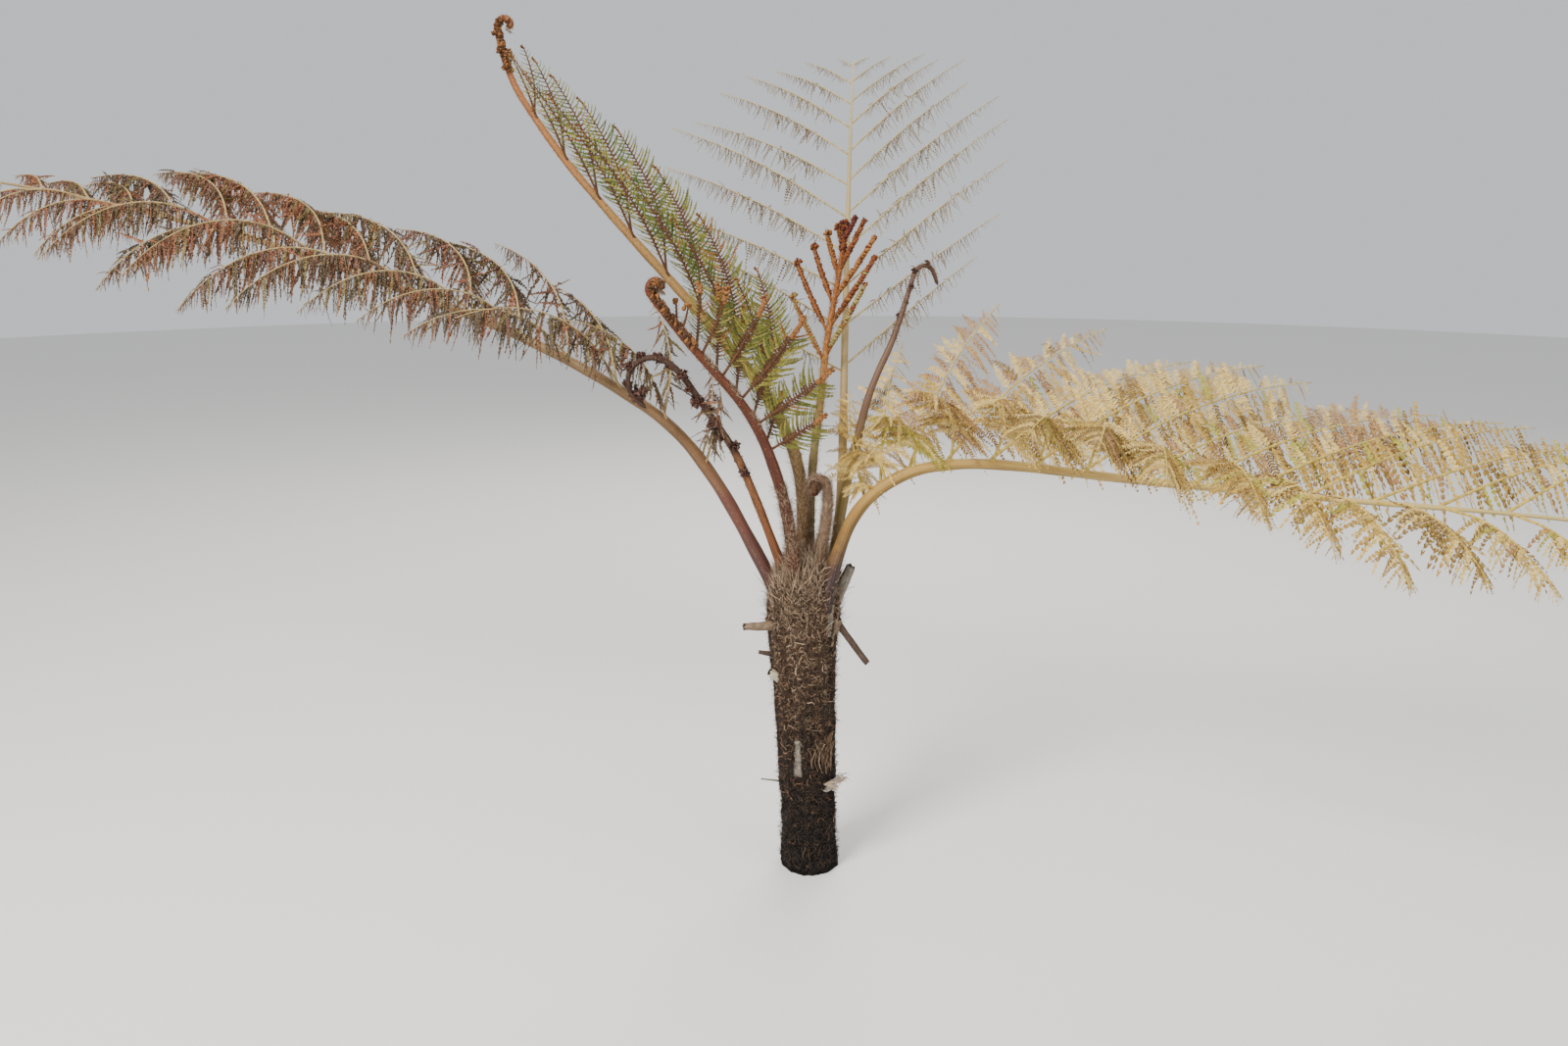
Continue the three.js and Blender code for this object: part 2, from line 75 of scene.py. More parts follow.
# %% The shader helper
class Wire:
    """A node's output that can be added, multiplied and mixed like a number."""

    def __init__(self, tree, socket=None):
        self.tree = tree
        self.socket = socket

    def node(self, kind, settings=None, inputs=None, output=0):
        """Adds a node: first its settings, then a value or a link for each input named."""
        made = self.tree.nodes.new(kind)
        for name, value in (settings or {}).items():
            if name == "stops":
                set_stops(made.color_ramp, value)
            else:
                setattr(made, name, value)
        for name, value in (inputs or {}).items():
            if isinstance(value, Wire):
                self.tree.links.new(value.socket, made.inputs[name])
            else:
                made.inputs[name].default_value = value
        return Wire(self.tree, made.outputs[output])

    def maths(self, operation, *values):
        return self.node("ShaderNodeMath", {"operation": operation}, dict(enumerate(values)))

    def __add__(self, other):
        return self.maths("ADD", self, other)

    def __mul__(self, other):
        return self.maths("MULTIPLY", self, other)

    def __sub__(self, other):
        return self.maths("SUBTRACT", self, other)

    def __rsub__(self, other):
        return self.maths("SUBTRACT", other, self)

    def ranged(self, low, high):
        """0 at low and below, 1 at high and above, and smooth between them."""
        settings = {"interpolation_type": "SMOOTHSTEP"}
        return self.node("ShaderNodeMapRange", settings, {0: self, 1: low, 2: high})

    def ramp(self, stops):
        return self.node("ShaderNodeValToRGB", {"stops": stops}, {0: self})

    def mix(self, first, second):
        """The first colour where this value is 0 and the second where it is 1."""
        inputs = {0: self, 6: first, 7: second}
        return self.node("ShaderNodeMix", {"data_type": "RGBA"}, inputs, output=2)

    def scaled(self, amount):
        return self.node("ShaderNodeVectorMath", {"operation": "SCALE"}, {0: self, 3: amount})

    def cloud(self, scale, detail):
        """Noise with this wire as its place."""
        return self.node("ShaderNodeTexNoise", None, {"Vector": self, "Scale": scale, "Detail": detail})


def set_stops(ramp, stops):
    while len(ramp.elements) < len(stops):
        ramp.elements.new(0.5)
    for element, (place, colour) in zip(ramp.elements, stops):
        element.position = place
        element.color = (*colour, 1)


def new_finish(name, roughness, specular=0.3):
    """A material with its shader's fixed values set, and a wire to start from."""
    material = bpy.data.materials.new(name)
    material.use_nodes = True
    shader = material.node_tree.nodes["Principled BSDF"]
    shader.inputs["Roughness"].default_value = roughness
    shader.inputs["Specular IOR Level"].default_value = specular
    return material, shader, Wire(material.node_tree)


def connect(material, wire, socket):
    material.node_tree.links.new(wire.socket, socket)


def emboss(material, shader, height, strength, distance):
    """Gives a finish fine relief."""
    inputs = {"Strength": strength, "Distance": distance, "Height": height}
    connect(material, height.node("ShaderNodeBump", None, inputs), shader.inputs["Normal"])


def shade(colour, amount):
    """A colour with four numbers, made darker or lighter."""
    return (*[min(channel * amount, 1) for channel in colour], 1)


print("a wire adds, subtracts, multiplies, ramps and mixes")

# %% [markdown]
# ## Floor and light
# A pale floor and large soft lamps show the plant without hard shadows.

# %% Floor, sky and lamps
FLOOR_RADIUS = 14
FLOOR_COLOUR = (0.78, 0.77, 0.75)
SKY_COLOUR = (0.95, 0.97, 1.0, 1)
SKY_STRENGTH = 0.74
LAMPS = [
    ("key_lamp", (-2.4, -3.0, 4.2), 1.8, 400, (1.0, 0.95, 0.88)),
    ("fill_lamp", (3.4, -2.6, 2.6), 3.5, 75, (0.97, 0.98, 1.0)),
    ("back_lamp", (0.8, 3.6, 4.0), 3.0, 170, (1.0, 0.98, 0.94)),
]

bm = bmesh.new()
bmesh.ops.create_circle(bm, cap_ends=True, segments=96, radius=FLOOR_RADIUS)
floor_mesh = bpy.data.meshes.new("floor")
bm.to_mesh(floor_mesh)
bm.free()
floor = bpy.data.objects.new("floor", floor_mesh)
bpy.context.scene.collection.objects.link(floor)
material, shader, wire = new_finish("pale_floor", 0.9)
grain = wire.node("ShaderNodeTexNoise", None, {"Scale": 3.0, "Detail": 4.0})
tone = grain.mix(shade(FLOOR_COLOUR, 0.97), shade(FLOOR_COLOUR, 1.03))
connect(material, tone, shader.inputs["Base Color"])
floor_mesh.materials.append(material)

sky = bpy.data.worlds.new("sky")
sky.use_nodes = True
sky.node_tree.nodes["Background"].inputs["Color"].default_value = SKY_COLOUR
sky.node_tree.nodes["Background"].inputs["Strength"].default_value = SKY_STRENGTH
bpy.context.scene.world = sky
for name, place, size, power, colour in LAMPS:
    lamp = bpy.data.lights.new(name, "AREA")
    lamp.size = size
    lamp.energy = power
    lamp.color = colour
    holder = bpy.data.objects.new(name, lamp)
    holder.location = place
    holder.rotation_euler = (Vector((0, 0, 0.9)) - Vector(place)).to_track_quat("-Z", "Y").to_euler()
    bpy.context.scene.collection.objects.link(holder)
print("lamps:", len(LAMPS))

# %% [markdown]
# ## Small shapes, dealt out by the thousand
# A fern has thousands of leaf segments, hairs and fibres. Each kind is modelled once with bmesh,
# kept as arrays, and copied to all its places at once. That gives one plain mesh for each kind,
# which renders fast and can be exported.

# %% Shapes and heaps
MM = 0.001
GROUND = 0
X = Vector((1, 0, 0))
Y = Vector((0, 1, 0))
UP = np.array([0.0, 0.0, 1.0])
CLOSE = 1e-4
made_triangles = {}


class Shape:
    """A small mesh as arrays: its corners, its faces, and the tint number of each face."""

    def __init__(self, bm):
        bmesh.ops.remove_doubles(bm, verts=bm.verts[:], dist=CLOSE)
        bm.verts.index_update()
        self.corners = np.array([v.co[:] for v in bm.verts])
        self.sizes = np.array([len(f.verts) for f in bm.faces])
        self.loops = np.array([v.index for f in bm.faces for v in f.verts])
        self.tints = np.array([f.material_index for f in bm.faces])
        bm.free()


class Heap:
    """Placed copies of shapes, in millimetres, that become one mesh."""

    def __init__(self):
        self.parts = []
        self.count = 0

    def add(self, shape, corners, colours, skin=None):
        """corners is copies x corners x 3, and colours has a finish number for each tint of each copy."""
        copies, each = corners.shape[:2]
        first = self.count + each * np.arange(copies)[:, None]
        colours = np.broadcast_to(np.asarray(colours), (copies, np.shape(colours)[-1]))
        self.parts.append((
            corners.reshape(-1, 3),
            np.tile(shape.sizes, copies),
            (shape.loops[None] + first).ravel(),
            colours[:, shape.tints].ravel(),
            np.zeros((copies * each, 3)) if skin is None else skin,
        ))
        self.count += copies * each

    def make(self, name, finishes, slot, *nodes):
        """Makes the piece, which rides on the plant and stands for the CAD nodes named."""
        corners, sizes, loops, tints, skins = [np.concatenate(rows) for rows in zip(*self.parts)]
        corners[:, 2] = corners[:, 2].clip(GROUND)
        mesh = bpy.data.meshes.new(name)
        mesh.vertices.add(len(corners))
        mesh.vertices.foreach_set("co", (corners * MM).ravel())
        mesh.loops.add(len(loops))
        mesh.loops.foreach_set("vertex_index", loops)
        mesh.polygons.add(len(sizes))
        mesh.polygons.foreach_set("loop_start", np.cumsum(sizes) - sizes)
        mesh.polygons.foreach_set("material_index", tints)
        mesh.polygons.foreach_set("use_smooth", np.ones(len(sizes), bool))
        mesh.update(calc_edges=True)
        skin = mesh.attributes.new("skin", "FLOAT_VECTOR", "POINT")
        skin.data.foreach_set("vector", skins.ravel())
        for finish in finishes:
            mesh.materials.append(finish)
        piece = bpy.data.objects.new(name, mesh)
        bpy.context.scene.collection.objects.link(piece)
        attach(piece, "root")
        if nodes:
            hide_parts(*nodes)
        made_triangles[name] = int((sizes - 2).sum())
        print(name, made_triangles[name], "triangles")


def unit(rows):
    return rows / np.maximum(np.linalg.norm(rows, axis=-1, keepdims=True), 1e-9)


def dealt(shape, origin, along, up, size, bend=None):
    """Corners of every copy: its +Y goes along, its +Z goes up, and bend moves its far end."""
    y = unit(along)
    x = unit(np.cross(y, up))
    z = np.cross(x, y)
    local = shape.corners[None] * np.asarray(size)[:, None]
    corners = origin[:, None] + sum(local[..., k:k + 1] * axis[:, None] for k, axis in enumerate((x, y, z)))
    if bend is not None:
        corners += bend[:, None] * (shape.corners[None, :, 1:2].clip(0) ** 2)
    return corners


# %% Blades, feathers, beads and pipes
def blade(bm, root, along, across, length, widths, curl=0.0, tint=0):
    """A narrow strip with a width for each step, that rolls up by curl degrees."""
    steps = len(widths) - 1
    up = across.cross(along)
    line = [Vector(root)]
    for i in range(steps):
        angle = math.radians(curl) * (i + 0.5) / steps
        line.append(line[-1] + (along * math.cos(angle) + up * math.sin(angle)) * (length / steps))
    strip = bmesh.ops.create_grid(bm, x_segments=1, y_segments=steps, size=0.5)["verts"]
    for v in strip:
        i = round((v.co.y + 0.5) * steps)
        v.co = line[i] + across * (v.co.x * widths[i])
    for face in {f for v in strip for f in v.link_faces}:
        face.material_index = tint


def feather(seed, teeth, reach, wide, slant, curl, midrib=0.022, taper=1.6, dark=0.0):
    """A leaf segment 1 long: a midrib with small lobes down both sides. Up to dark, they take its tint."""
    draw = np.random.default_rng(seed)
    bm = bmesh.new()
    blade(bm, (0, 0, 0), Y, X, 1, [midrib, midrib, midrib * 0.8, midrib * 0.5, 0], tint=int(dark > 0))
    if dark:
        blade(bm, (0, 0, 0.01), Y, X, dark, [midrib * 1.3, midrib * 1.3, midrib])
    for i in range(teeth):
        place = 0.07 + 0.9 * i / teeth
        size = reach * (1 - place ** taper) ** 0.7 * (1 + 0.12 * draw.normal())
        for side in (-1, 1):
            lean = math.radians(slant + 7 * draw.normal())
            tilt = 0.25 * draw.normal()
            along = Vector((side * math.cos(lean), math.sin(lean), tilt)).normalized()
            across = Vector((math.sin(lean), -side * math.cos(lean), 0)) * side
            roll = curl * (1 + 0.35 * draw.normal())
            widths = [wide, wide * 0.85, 0]
            blade(bm, (0, place, 0), along, across, size, widths, roll, tint=int(place >= dark))
    return Shape(bm)


def bead(turn):
    """A leaf segment that is still rolled up: a fat coil that thins to its end."""
    shape = pipe(5, 7)
    share = shape.corners[:, 1]
    angle = math.radians(turn) * share
    coil, thick = 0.42, 0.34
    thick = thick * (1 - 0.6 * share) * (0.5 + 0.5 * np.minimum(share * 6, 1))
    away = coil * (1 - 0.6 * share) + thick * shape.corners[:, 2]
    across = 1.25 * thick * shape.corners[:, 0]
    shape.corners = np.stack([across, away * np.sin(angle), coil - away * np.cos(angle)], -1)
    return shape


def strand(widths, curl):
    """A hair or fibre 1 long."""
    bm = bmesh.new()
    blade(bm, (0, 0, 0), Y, X, 1, widths, curl)
    return Shape(bm)


def pipe(sides, rings):
    """A straight tube 1 long with a radius of 1, closed at both ends."""
    bm = bmesh.new()
    upright = Matrix.Rotation(math.radians(90), 4, "X")
    bmesh.ops.create_circle(bm, segments=sides, radius=1, matrix=upright)
    circle = bm.verts[:] + bm.edges[:]
    bmesh.ops.spin(bm, geom=circle, dvec=(0, 1 / rings, 0), axis=(0, 1, 0), angle=0, steps=rings)
    bmesh.ops.holes_fill(bm, edges=bm.edges[:], sides=sides)
    bmesh.ops.recalc_face_normals(bm, faces=bm.faces[:])
    return Shape(bm)


def swept(shape, line, across, above, radii):
    """Corners of a pipe that is bent along a line of one row for each ring."""
    ring = shape.corners[:, 1] * (len(line) - 1)
    rows = np.arange(len(line))

    def at(values):
        return np.stack([np.interp(ring, rows, values[:, k]) for k in range(3)], -1)

    radius = np.interp(ring, rows, radii)[:, None]
    x, z = shape.corners[:, :1], shape.corners[:, 2:]
    return (at(line) + radius * (x * at(across) + z * at(above)))[None]


HAIRS = [strand([0.6, 1, 0.8, 0], curl) for curl in (-60, -15, 35, 80)]
print("faces of one hair:", len(HAIRS[0].sizes))

# %% [markdown]
# ## The rule that every frond grows by
# A stem climbs from its foot by a list of slopes. Leaflets stand in pairs along it, and each takes
# its length, spread and sag from three values that are blended along the frond. The same rule made
# the solids, so the finer leaflets keep the plant's outline and its gaps.

# %% Every frond's own values
FRONDS = {
    "left_frond": dict(
        foot=(-58, 4, 604), heading=[168], step=146, radius=(15.5, 2), number=0,
        rise=[62, 61, 52, 33, 27, 24, 19, 18, 18, 15, 13, 12, 11, 10, 7, 2],
        leaflets=dict(
            start=340, end=2220, pairs=17, stray=9, width=(90, 120, 34), spread=(56, 50, 42),
        ),
        left=dict(length=(330, 450, 60), lift=(50, 26, 0), sag=(1.6, 2.6, 0.9), sweep=(0.7, 1, 0.3)),
        right=dict(length=(250, 420, 60), lift=(50, 44, 16), sag=(0.9, 1.3, 0.5), sweep=(0.9, 2, 0.4)),
    ),
    "right_frond": dict(
        foot=(26, -42, 606), heading=[-8], step=122, radius=(15, 1.8), number=1,
        rise=[78, 68, 36, 8, -3, -6, -5, -4, -4, -4, -3, -3, -4, -5, -8, -12],
        leaflets=dict(start=255, end=1915, pairs=17, crowd=1.33, stray=4),
        left=dict(
            length=(270, 690, 60), width=(120, 160, 44), spread=(66, 38, 38),
            lift=(52, 32, 50), sag=(0.5, 0.42, 0.4), sweep=(0.5, 0.2, 0.1),
        ),
        right=dict(
            length=(60, 400, 50), width=(60, 150, 44), spread=(56, 86, 36),
            lift=(88, 30, -20), sag=(1.2, 1.8, 0.3), sweep=(-2.2, -0.1, 0.3),
        ),
    ),
    "front_frond": dict(
        foot=(-25, -47, 612), heading=[208], step=63, radius=(14.5, 6.5), number=2,
        rise=[83, 82, 82, 77, 71, 68, 60, 52, 47, 47, 50, 52], curl=(250, 18, 11),
        leaflets=dict(
            start=350, end=660, pairs=6, stray=3, length=(165, 232, 72), width=(92, 94, 20),
            spread=(74, 70, 58), sag=(0.1, 0, -0.2), sweep=(0.1, 0.2, 0.4),
        ),
        left=dict(lift=(48, 54, 64)),
        right=dict(lift=(52, 56, 64)),
    ),
    "tall_frond": dict(
        foot=(-19, 22, 622), heading=[165], step=99, radius=(14.5, 6), number=3,
        rise=[90, 92, 82, 66, 55, 48, 47, 46, 46, 47, 48, 53, 56, 76], curl=(240, 22, 11),
        leaflets=dict(
            start=430, end=1290, pairs=9, stray=2, length=(300, 360, 60), width=(92, 82, 18),
            spread=(45, 36, 34), lift=(48, 48, 56), sag=(0, 0, 0), sweep=(1.6, 2.2, 1.2),
        ),
    ),
    "red_frond": dict(
        foot=(-3, 52, 616), heading=[60], step=80, radius=(12, 4.5), number=4,
        rise=[89, 89, 86, 81, 73, 79, 76, 69, 68, 80],
        leaflets=dict(
            start=500, end=745, pairs=5, stray=4, length=(185, 165, 70), width=(44, 38, 16),
            spread=(36, 30, 22), lift=(14, 10, 0), sag=(-0.2, -0.2, -0.1), sweep=(0.1, 0.1, 0),
        ),
    ),
    "back_frond": dict(
        foot=(38, 52, 606), heading=[28, 62, 84, 86, 86], step=122, radius=(12, 1.8), number=5,
        rise=[80, 80, 78, 72, 66, 60, 55, 50, 45, 40, 34, 28],
        leaflets=dict(
            start=490, end=1420, pairs=11, stray=4, length=(380, 420, 60), width=(52, 58, 20),
        ),
        left=dict(
            spread=(64, 58, 42), lift=(12, 8, 6), sag=(0.3, 0.4, 0.3), sweep=(0.1, 0, 0),
        ),
        right=dict(
            spread=(52, 44, 34), lift=(12, 10, 6), sag=(0.2, 0.3, 0.3), sweep=(0.1, 0, 0),
        ),
    ),
    "small_crozier": dict(
        foot=(22, -13, 640), heading=[180], step=25, radius=(14, 8), number=6,
        rise=[84, 86, 90, 100, 101, 99, 97, 93, 84], curl=(-300, 22, 11),
    ),
    "dead_crozier": dict(
        foot=(-31, -10, 612), heading=[193], step=51, radius=(11, 5), number=7,
        rise=[69, 69, 70, 70, 69, 68, 66, 58, 55, 57, 55, 38, -16, -80, -138],
        knobs=(250, 730, 9, 15, 4),
    ),
    "dying_stem": dict(
        foot=(40, 20, 614), heading=[28], step=62, radius=(14, 4), number=8,
        rise=[82, 82, 81, 78, 75, 75, 74, 66, 60, 68, 71, 70, -66],
        knobs=(620, 750, 3, 11, 9),
    ),
}
print("fronds and stems:", ", ".join(FRONDS))


# %% Stems
WALK = 3


def scatter(number):
    """Steady scatter between -1 and 1 for a whole number."""
    wave = math.sin(number * 12.9898) * 43758.5453
    return 2 * (wave - math.floor(wave)) - 1


def between(values, share):
    """A smooth blend through three values."""
    first, middle, last = values
    rest = 1 - share
    return first * rest * (1 - 2 * share) + 4 * middle * share * rest + last * share * (2 * share - 1)


def lengths(frond):
    """The stem's length up to its curl, and the curl's length."""
    plain = frond["step"] * len(frond["rise"])
    turn, wide, tight = frond.get("curl", (0, 1, 2))
    return plain, math.radians(abs(turn)) * (tight - wide) / math.log(tight / wide)


def stem_end(frond):
    return sum(lengths(frond))


def rise_at(frond, s):
    plain, wound = lengths(frond)
    rise = np.interp(s / frond["step"] - 0.5, range(len(frond["rise"])), frond["rise"])
    if "curl" not in frond:
        return rise
    turn, wide, tight = frond["curl"]
    past = np.clip(s - plain, 0, wound)
    share = np.log(1 + (tight / wide - 1) * past / wound) / math.log(tight / wide)
    return np.where(s > plain, frond["rise"][-1] + turn * share, rise)


def frame_at(frond, s):
    """Directions at distances s: along the stem, to its left, and up from the frond's plane."""
    s = np.atleast_1d(np.asarray(s, float))
    heading = np.radians(np.interp(s / frond["step"] - 0.5, range(len(frond["heading"])), frond["heading"]))
    rise = np.radians(rise_at(frond, s))[:, None]
    out = np.stack([np.cos(heading), np.sin(heading), np.zeros_like(heading)], -1)
    return out * np.cos(rise) + UP * np.sin(rise), np.cross(UP, out), UP * np.cos(rise) - out * np.sin(rise)


def place_at(frond, s):
    """Points of the stem's middle line at distances s."""
    if "walked" not in frond:
        steps = np.arange(0, stem_end(frond), WALK)
        tangent = frame_at(frond, steps + WALK / 2)[0]
        frond["walked"] = np.vstack([frond["foot"], frond["foot"] + np.cumsum(tangent * WALK, 0)])
    rows = np.arange(len(frond["walked"])) * WALK
    return np.stack([np.interp(s, rows, frond["walked"][:, k]) for k in range(3)], -1)


def stem_radius(frond, s):
    base, tip = frond["radius"]
    share = np.clip(s / stem_end(frond), 0, 1)
    return (tip + (base - tip) * (1 - share) ** 1.15) * (1 + 0.25 * np.exp(-s / 45))


tips = {name: place_at(frond, stem_end(frond)) for name, frond in FRONDS.items()}
print("tip heights in mm:", {name: round(float(tip[2])) for name, tip in tips.items()})

# %% Leaflet lines
BEND_FROM = 0.22
LEAFLET_STEPS = 36
COIL_STEPS = 12


def leaflet_values(frond, side, pair):
    given = {**frond["leaflets"], **frond.get("left" if side > 0 else "right", {})}
    share = pair / (given["pairs"] - 1)
    names = ("length", "width", "spread", "lift", "sag", "sweep")
    values = {name: between(given[name], share) for name in names}
    number = 2 * pair + (0 if side > 0 else 1) + 100 * frond["number"]
    values["spread"] += given["stray"] * scatter(number + 1000)
    values["lift"] += given["stray"] * scatter(number + 2000)
    values["length"] *= 1 + 0.012 * given["stray"] * scatter(number + 3000)
    along = share ** given.get("crowd", 1)
    values["s"] = given["start"] + (given["end"] - given["start"]) * along + (0 if side > 0 else 14)
    return values


def leaflet_line(frond, side, pair, coil=0):
    """The bent line of one leaflet, with its directions. The last coil millimetres roll up."""
    v = leaflet_values(frond, side, pair)
    tangent, left, above = [rows[0] for rows in frame_at(frond, v["s"])]
    spread, lift = math.radians(v["spread"]), math.radians(v["lift"])
    heading = tangent * math.cos(spread) + side * left * math.sin(spread) * math.cos(lift)
    heading = heading + above * math.sin(spread) * math.sin(lift)
    point = place_at(frond, v["s"])
    plain = v["length"] - coil
    steps = [plain / LEAFLET_STEPS] * LEAFLET_STEPS + [coil / COIL_STEPS] * (COIL_STEPS if coil else 0)
    rows = []
    gone = 0
    for step in [*steps, 0]:
        across = unit(tangent - (tangent @ heading) * heading)
        face = np.cross(across, heading) * side
        rows.append((point, heading, across, face, [gone / v["length"]] * 3))
        point = point + heading * step
        gone += step
        if gone > plain + 1e-6:
            angle = math.radians(26 + 2 * (gone - plain) * COIL_STEPS / coil)
            heading = unit(heading * math.cos(angle) + face * math.sin(angle))
        elif gone / v["length"] > BEND_FROM:
            share = step / v["length"]
            heading = unit(heading - UP * v["sag"] * share + tangent * v["sweep"] * share)
    point, heading, across, face, share = np.moveaxis(np.array(rows), 1, 0)
    v.update(point=point, heading=heading, across=across, face=face, share=share[:, 0], side=side)
    v["place"] = pair / (frond["leaflets"]["pairs"] - 1)
    return v


def leaflets_of(name, coil=0):
    frond = FRONDS[name]
    pairs = range(frond["leaflets"]["pairs"])
    return [leaflet_line(frond, side, pair, coil) for pair in pairs for side in (1, -1)]


print("leaflets on the left frond:", len(leaflets_of("left_frond")))

# %% [markdown]
# ## Stalks
# A stalk is a long tube, thick and dark at its foot and paler further out, with two faint lines
# of breathing pores along its sides. Each stalk is one pipe that is bent along its stem's line.
# Its own attribute, called skin, keeps where each point lies round and along the stalk, so that
# streaks and colours follow it round every bend.


# %% Stalk finishes
PORE_COLOUR = (0.5, 0.42, 0.27, 1)


def stalk_finish(name, stops, underside_shade=0.62, roughness=0.5):
    """A stalk's colours from foot to tip, streaked and specked, with painted shade that darkens its lower
    side by the factor given.
    """
    material, shader, wire = new_finish(name, roughness)
    skin = wire.node("ShaderNodeAttribute", {"attribute_name": "skin"}, output=1)
    parts = skin.node("ShaderNodeSeparateXYZ", None, {0: skin})
    side, top, run = [Wire(wire.tree, socket) for socket in parts.socket.node.outputs]
    stretched = wire.node("ShaderNodeCombineXYZ", None, {0: side * 3, 1: top * 3, 2: run * 9})
    streaks = stretched.cloud(2.2, 6.0)
    where = wire.node("ShaderNodeTexCoord", output=3)
    specks = where.cloud(260.0, 2.0)
    blotches = where.cloud(22.0, 3.0)
    colour = (run + (blotches - 0.5) * 0.09).ramp(stops)
    light = colour.scaled(1.25)
    # Painted shade: dark is the stalk's colour darkened as if in shadow. The next line lays it over the
    # lower side, and the dark specks below use it too.
    dark = colour.scaled(underside_shade)
    colour = top.ranged(-0.9, 0.5).mix(dark, colour)
    colour = streaks.ranged(0.45, 0.7).mix(colour, light)
    pores = (1 - (top * top)).ranged(0.97, 0.995) * specks.ranged(0.5, 0.6) * 0.12
    colour = pores.mix(colour, PORE_COLOUR)
    colour = (specks.ranged(0.6, 0.7) * 0.25).mix(colour, dark)
    connect(material, colour, shader.inputs["Base Color"])
    emboss(material, shader, streaks * 0.6 + specks * 0.4, 0.35, 0.0012)
    return material


STALKS = {
    "left_frond": stalk_finish("purple_brown_stalk", [
        (0.0, (0.05, 0.022, 0.02)), (0.1, (0.12, 0.045, 0.03)), (0.17, (0.16, 0.085, 0.035)),
        (0.35, (0.2, 0.125, 0.055)), (1.0, (0.26, 0.19, 0.09)),
    ]),
    "right_frond": stalk_finish("golden_stalk", [
        (0.0, (0.035, 0.02, 0.024)), (0.045, (0.06, 0.032, 0.026)), (0.09, (0.24, 0.13, 0.03)),
        (0.22, (0.43, 0.27, 0.065)), (0.45, (0.52, 0.36, 0.12)), (1.0, (0.45, 0.38, 0.15)),
    ], underside_shade=0.4),
    "front_frond": stalk_finish("red_brown_stalk", [
        (0.0, (0.1, 0.035, 0.02)), (0.4, (0.085, 0.022, 0.012)), (0.75, (0.13, 0.035, 0.012)),
        (1.0, (0.16, 0.035, 0.014)),
    ], roughness=0.6),
    "tall_frond": stalk_finish("olive_brown_stalk", [
        (0.0, (0.15, 0.07, 0.03)), (0.25, (0.19, 0.12, 0.035)), (0.6, (0.24, 0.13, 0.035)),
        (0.85, (0.27, 0.1, 0.03)), (1.0, (0.2, 0.06, 0.025)),
    ], roughness=0.6),
    "red_frond": stalk_finish("green_rusty_stalk", [
        (0.0, (0.2, 0.15, 0.06)), (0.5, (0.25, 0.2, 0.07)), (0.66, (0.34, 0.14, 0.03)),
        (0.95, (0.3, 0.08, 0.02)), (1.0, (0.08, 0.015, 0.01)),
    ], roughness=0.6),
    "back_frond": stalk_finish("straw_stalk", [
        (0.0, (0.1, 0.05, 0.03)), (0.15, (0.3, 0.2, 0.08)), (0.5, (0.34, 0.26, 0.12)),
        (1.0, (0.4, 0.32, 0.16)),
    ]),
    "small_crozier": stalk_finish("coil_skin", [
        (0.0, (0.22, 0.14, 0.09)), (0.6, (0.25, 0.14, 0.09)), (0.8, (0.16, 0.05, 0.03)),
        (1.0, (0.13, 0.03, 0.02)),
    ], roughness=0.8),
    "dead_crozier": stalk_finish("orange_brown_stalk", [
        (0.0, (0.06, 0.02, 0.015)), (0.12, (0.16, 0.055, 0.02)), (0.38, (0.22, 0.09, 0.035)),
        (0.52, (0.09, 0.045, 0.028)), (1.0, (0.045, 0.024, 0.017)),
    ], roughness=0.8),
    "dying_stem": stalk_finish("olive_red_stalk", [
        (0.0, (0.08, 0.05, 0.025)), (0.15, (0.2, 0.15, 0.045)), (0.36, (0.24, 0.17, 0.06)),
        (0.5, (0.13, 0.07, 0.04)), (1.0, (0.09, 0.045, 0.03)),
    ]),
}
print("stalk finishes:", len(STALKS))

# %% Stalk pipes
STALK_SLOTS = {
    "left_frond": "brown_stalk", "right_frond": "golden_stalk", "front_frond": "red_brown_stalk",
    "tall_frond": "olive_stalk", "red_frond": "olive_stalk", "back_frond": "golden_stalk",
    "small_crozier": "crozier_fur", "dead_crozier": "red_brown_stalk", "dying_stem": "brown_stalk",
}
PLAIN_RING = 9
COIL_RING = 3
STALK_SIDES = 14
ROUND_TIP = 14


def make_stalk(name):
    """One stalk and its midrib, rounded off at the tip."""
    frond = FRONDS[name]
    plain, wound = lengths(frond)
    straight = np.linspace(0, plain, round(plain / PLAIN_RING) + 1)
    coiled = np.linspace(plain, plain + wound, round(wound / COIL_RING) + 1)[1:]
    s = np.concatenate([straight, coiled])
    tangent, left, above = frame_at(frond, s)
    knots = 1 + 0.03 * np.sin(s / 17 + frond["number"]) + 0.025 * np.sin(s / 41)
    radii = stem_radius(frond, s) * knots
    close = np.minimum(stem_end(frond) - s, ROUND_TIP) / ROUND_TIP
    radii = radii * np.sqrt(1 - (1 - close) ** 2).clip(0.12)
    shape = pipe(STALK_SIDES, len(s) - 1)
    heap = Heap()
    corners = swept(shape, place_at(frond, s), -left, above, radii)
    run = np.interp(shape.corners[:, 1] * (len(s) - 1), np.arange(len(s)), s) / s[-1]
    skin = np.stack([shape.corners[:, 0], shape.corners[:, 2], run], -1)
    heap.add(shape, corners, [[0]], skin)
    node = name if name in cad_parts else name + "_stalk"
    heap.make(name + "_rachis", [STALKS[name]], STALK_SLOTS[name], node)


for name in FRONDS:
    make_stalk(name)

# %% [markdown]
# ## Leaf colours
# Old leaf segments are mauve-brown or golden, young ones olive with rusty ends. The finish of one
# segment is a plain colour with a little mottling, and whole sprays are dealt different tints. That
# reads better on thousands of tiny faces than one pattern laid over the whole frond.


# %% Leaf finishes
LEAF_ROUGHNESS = 0.7


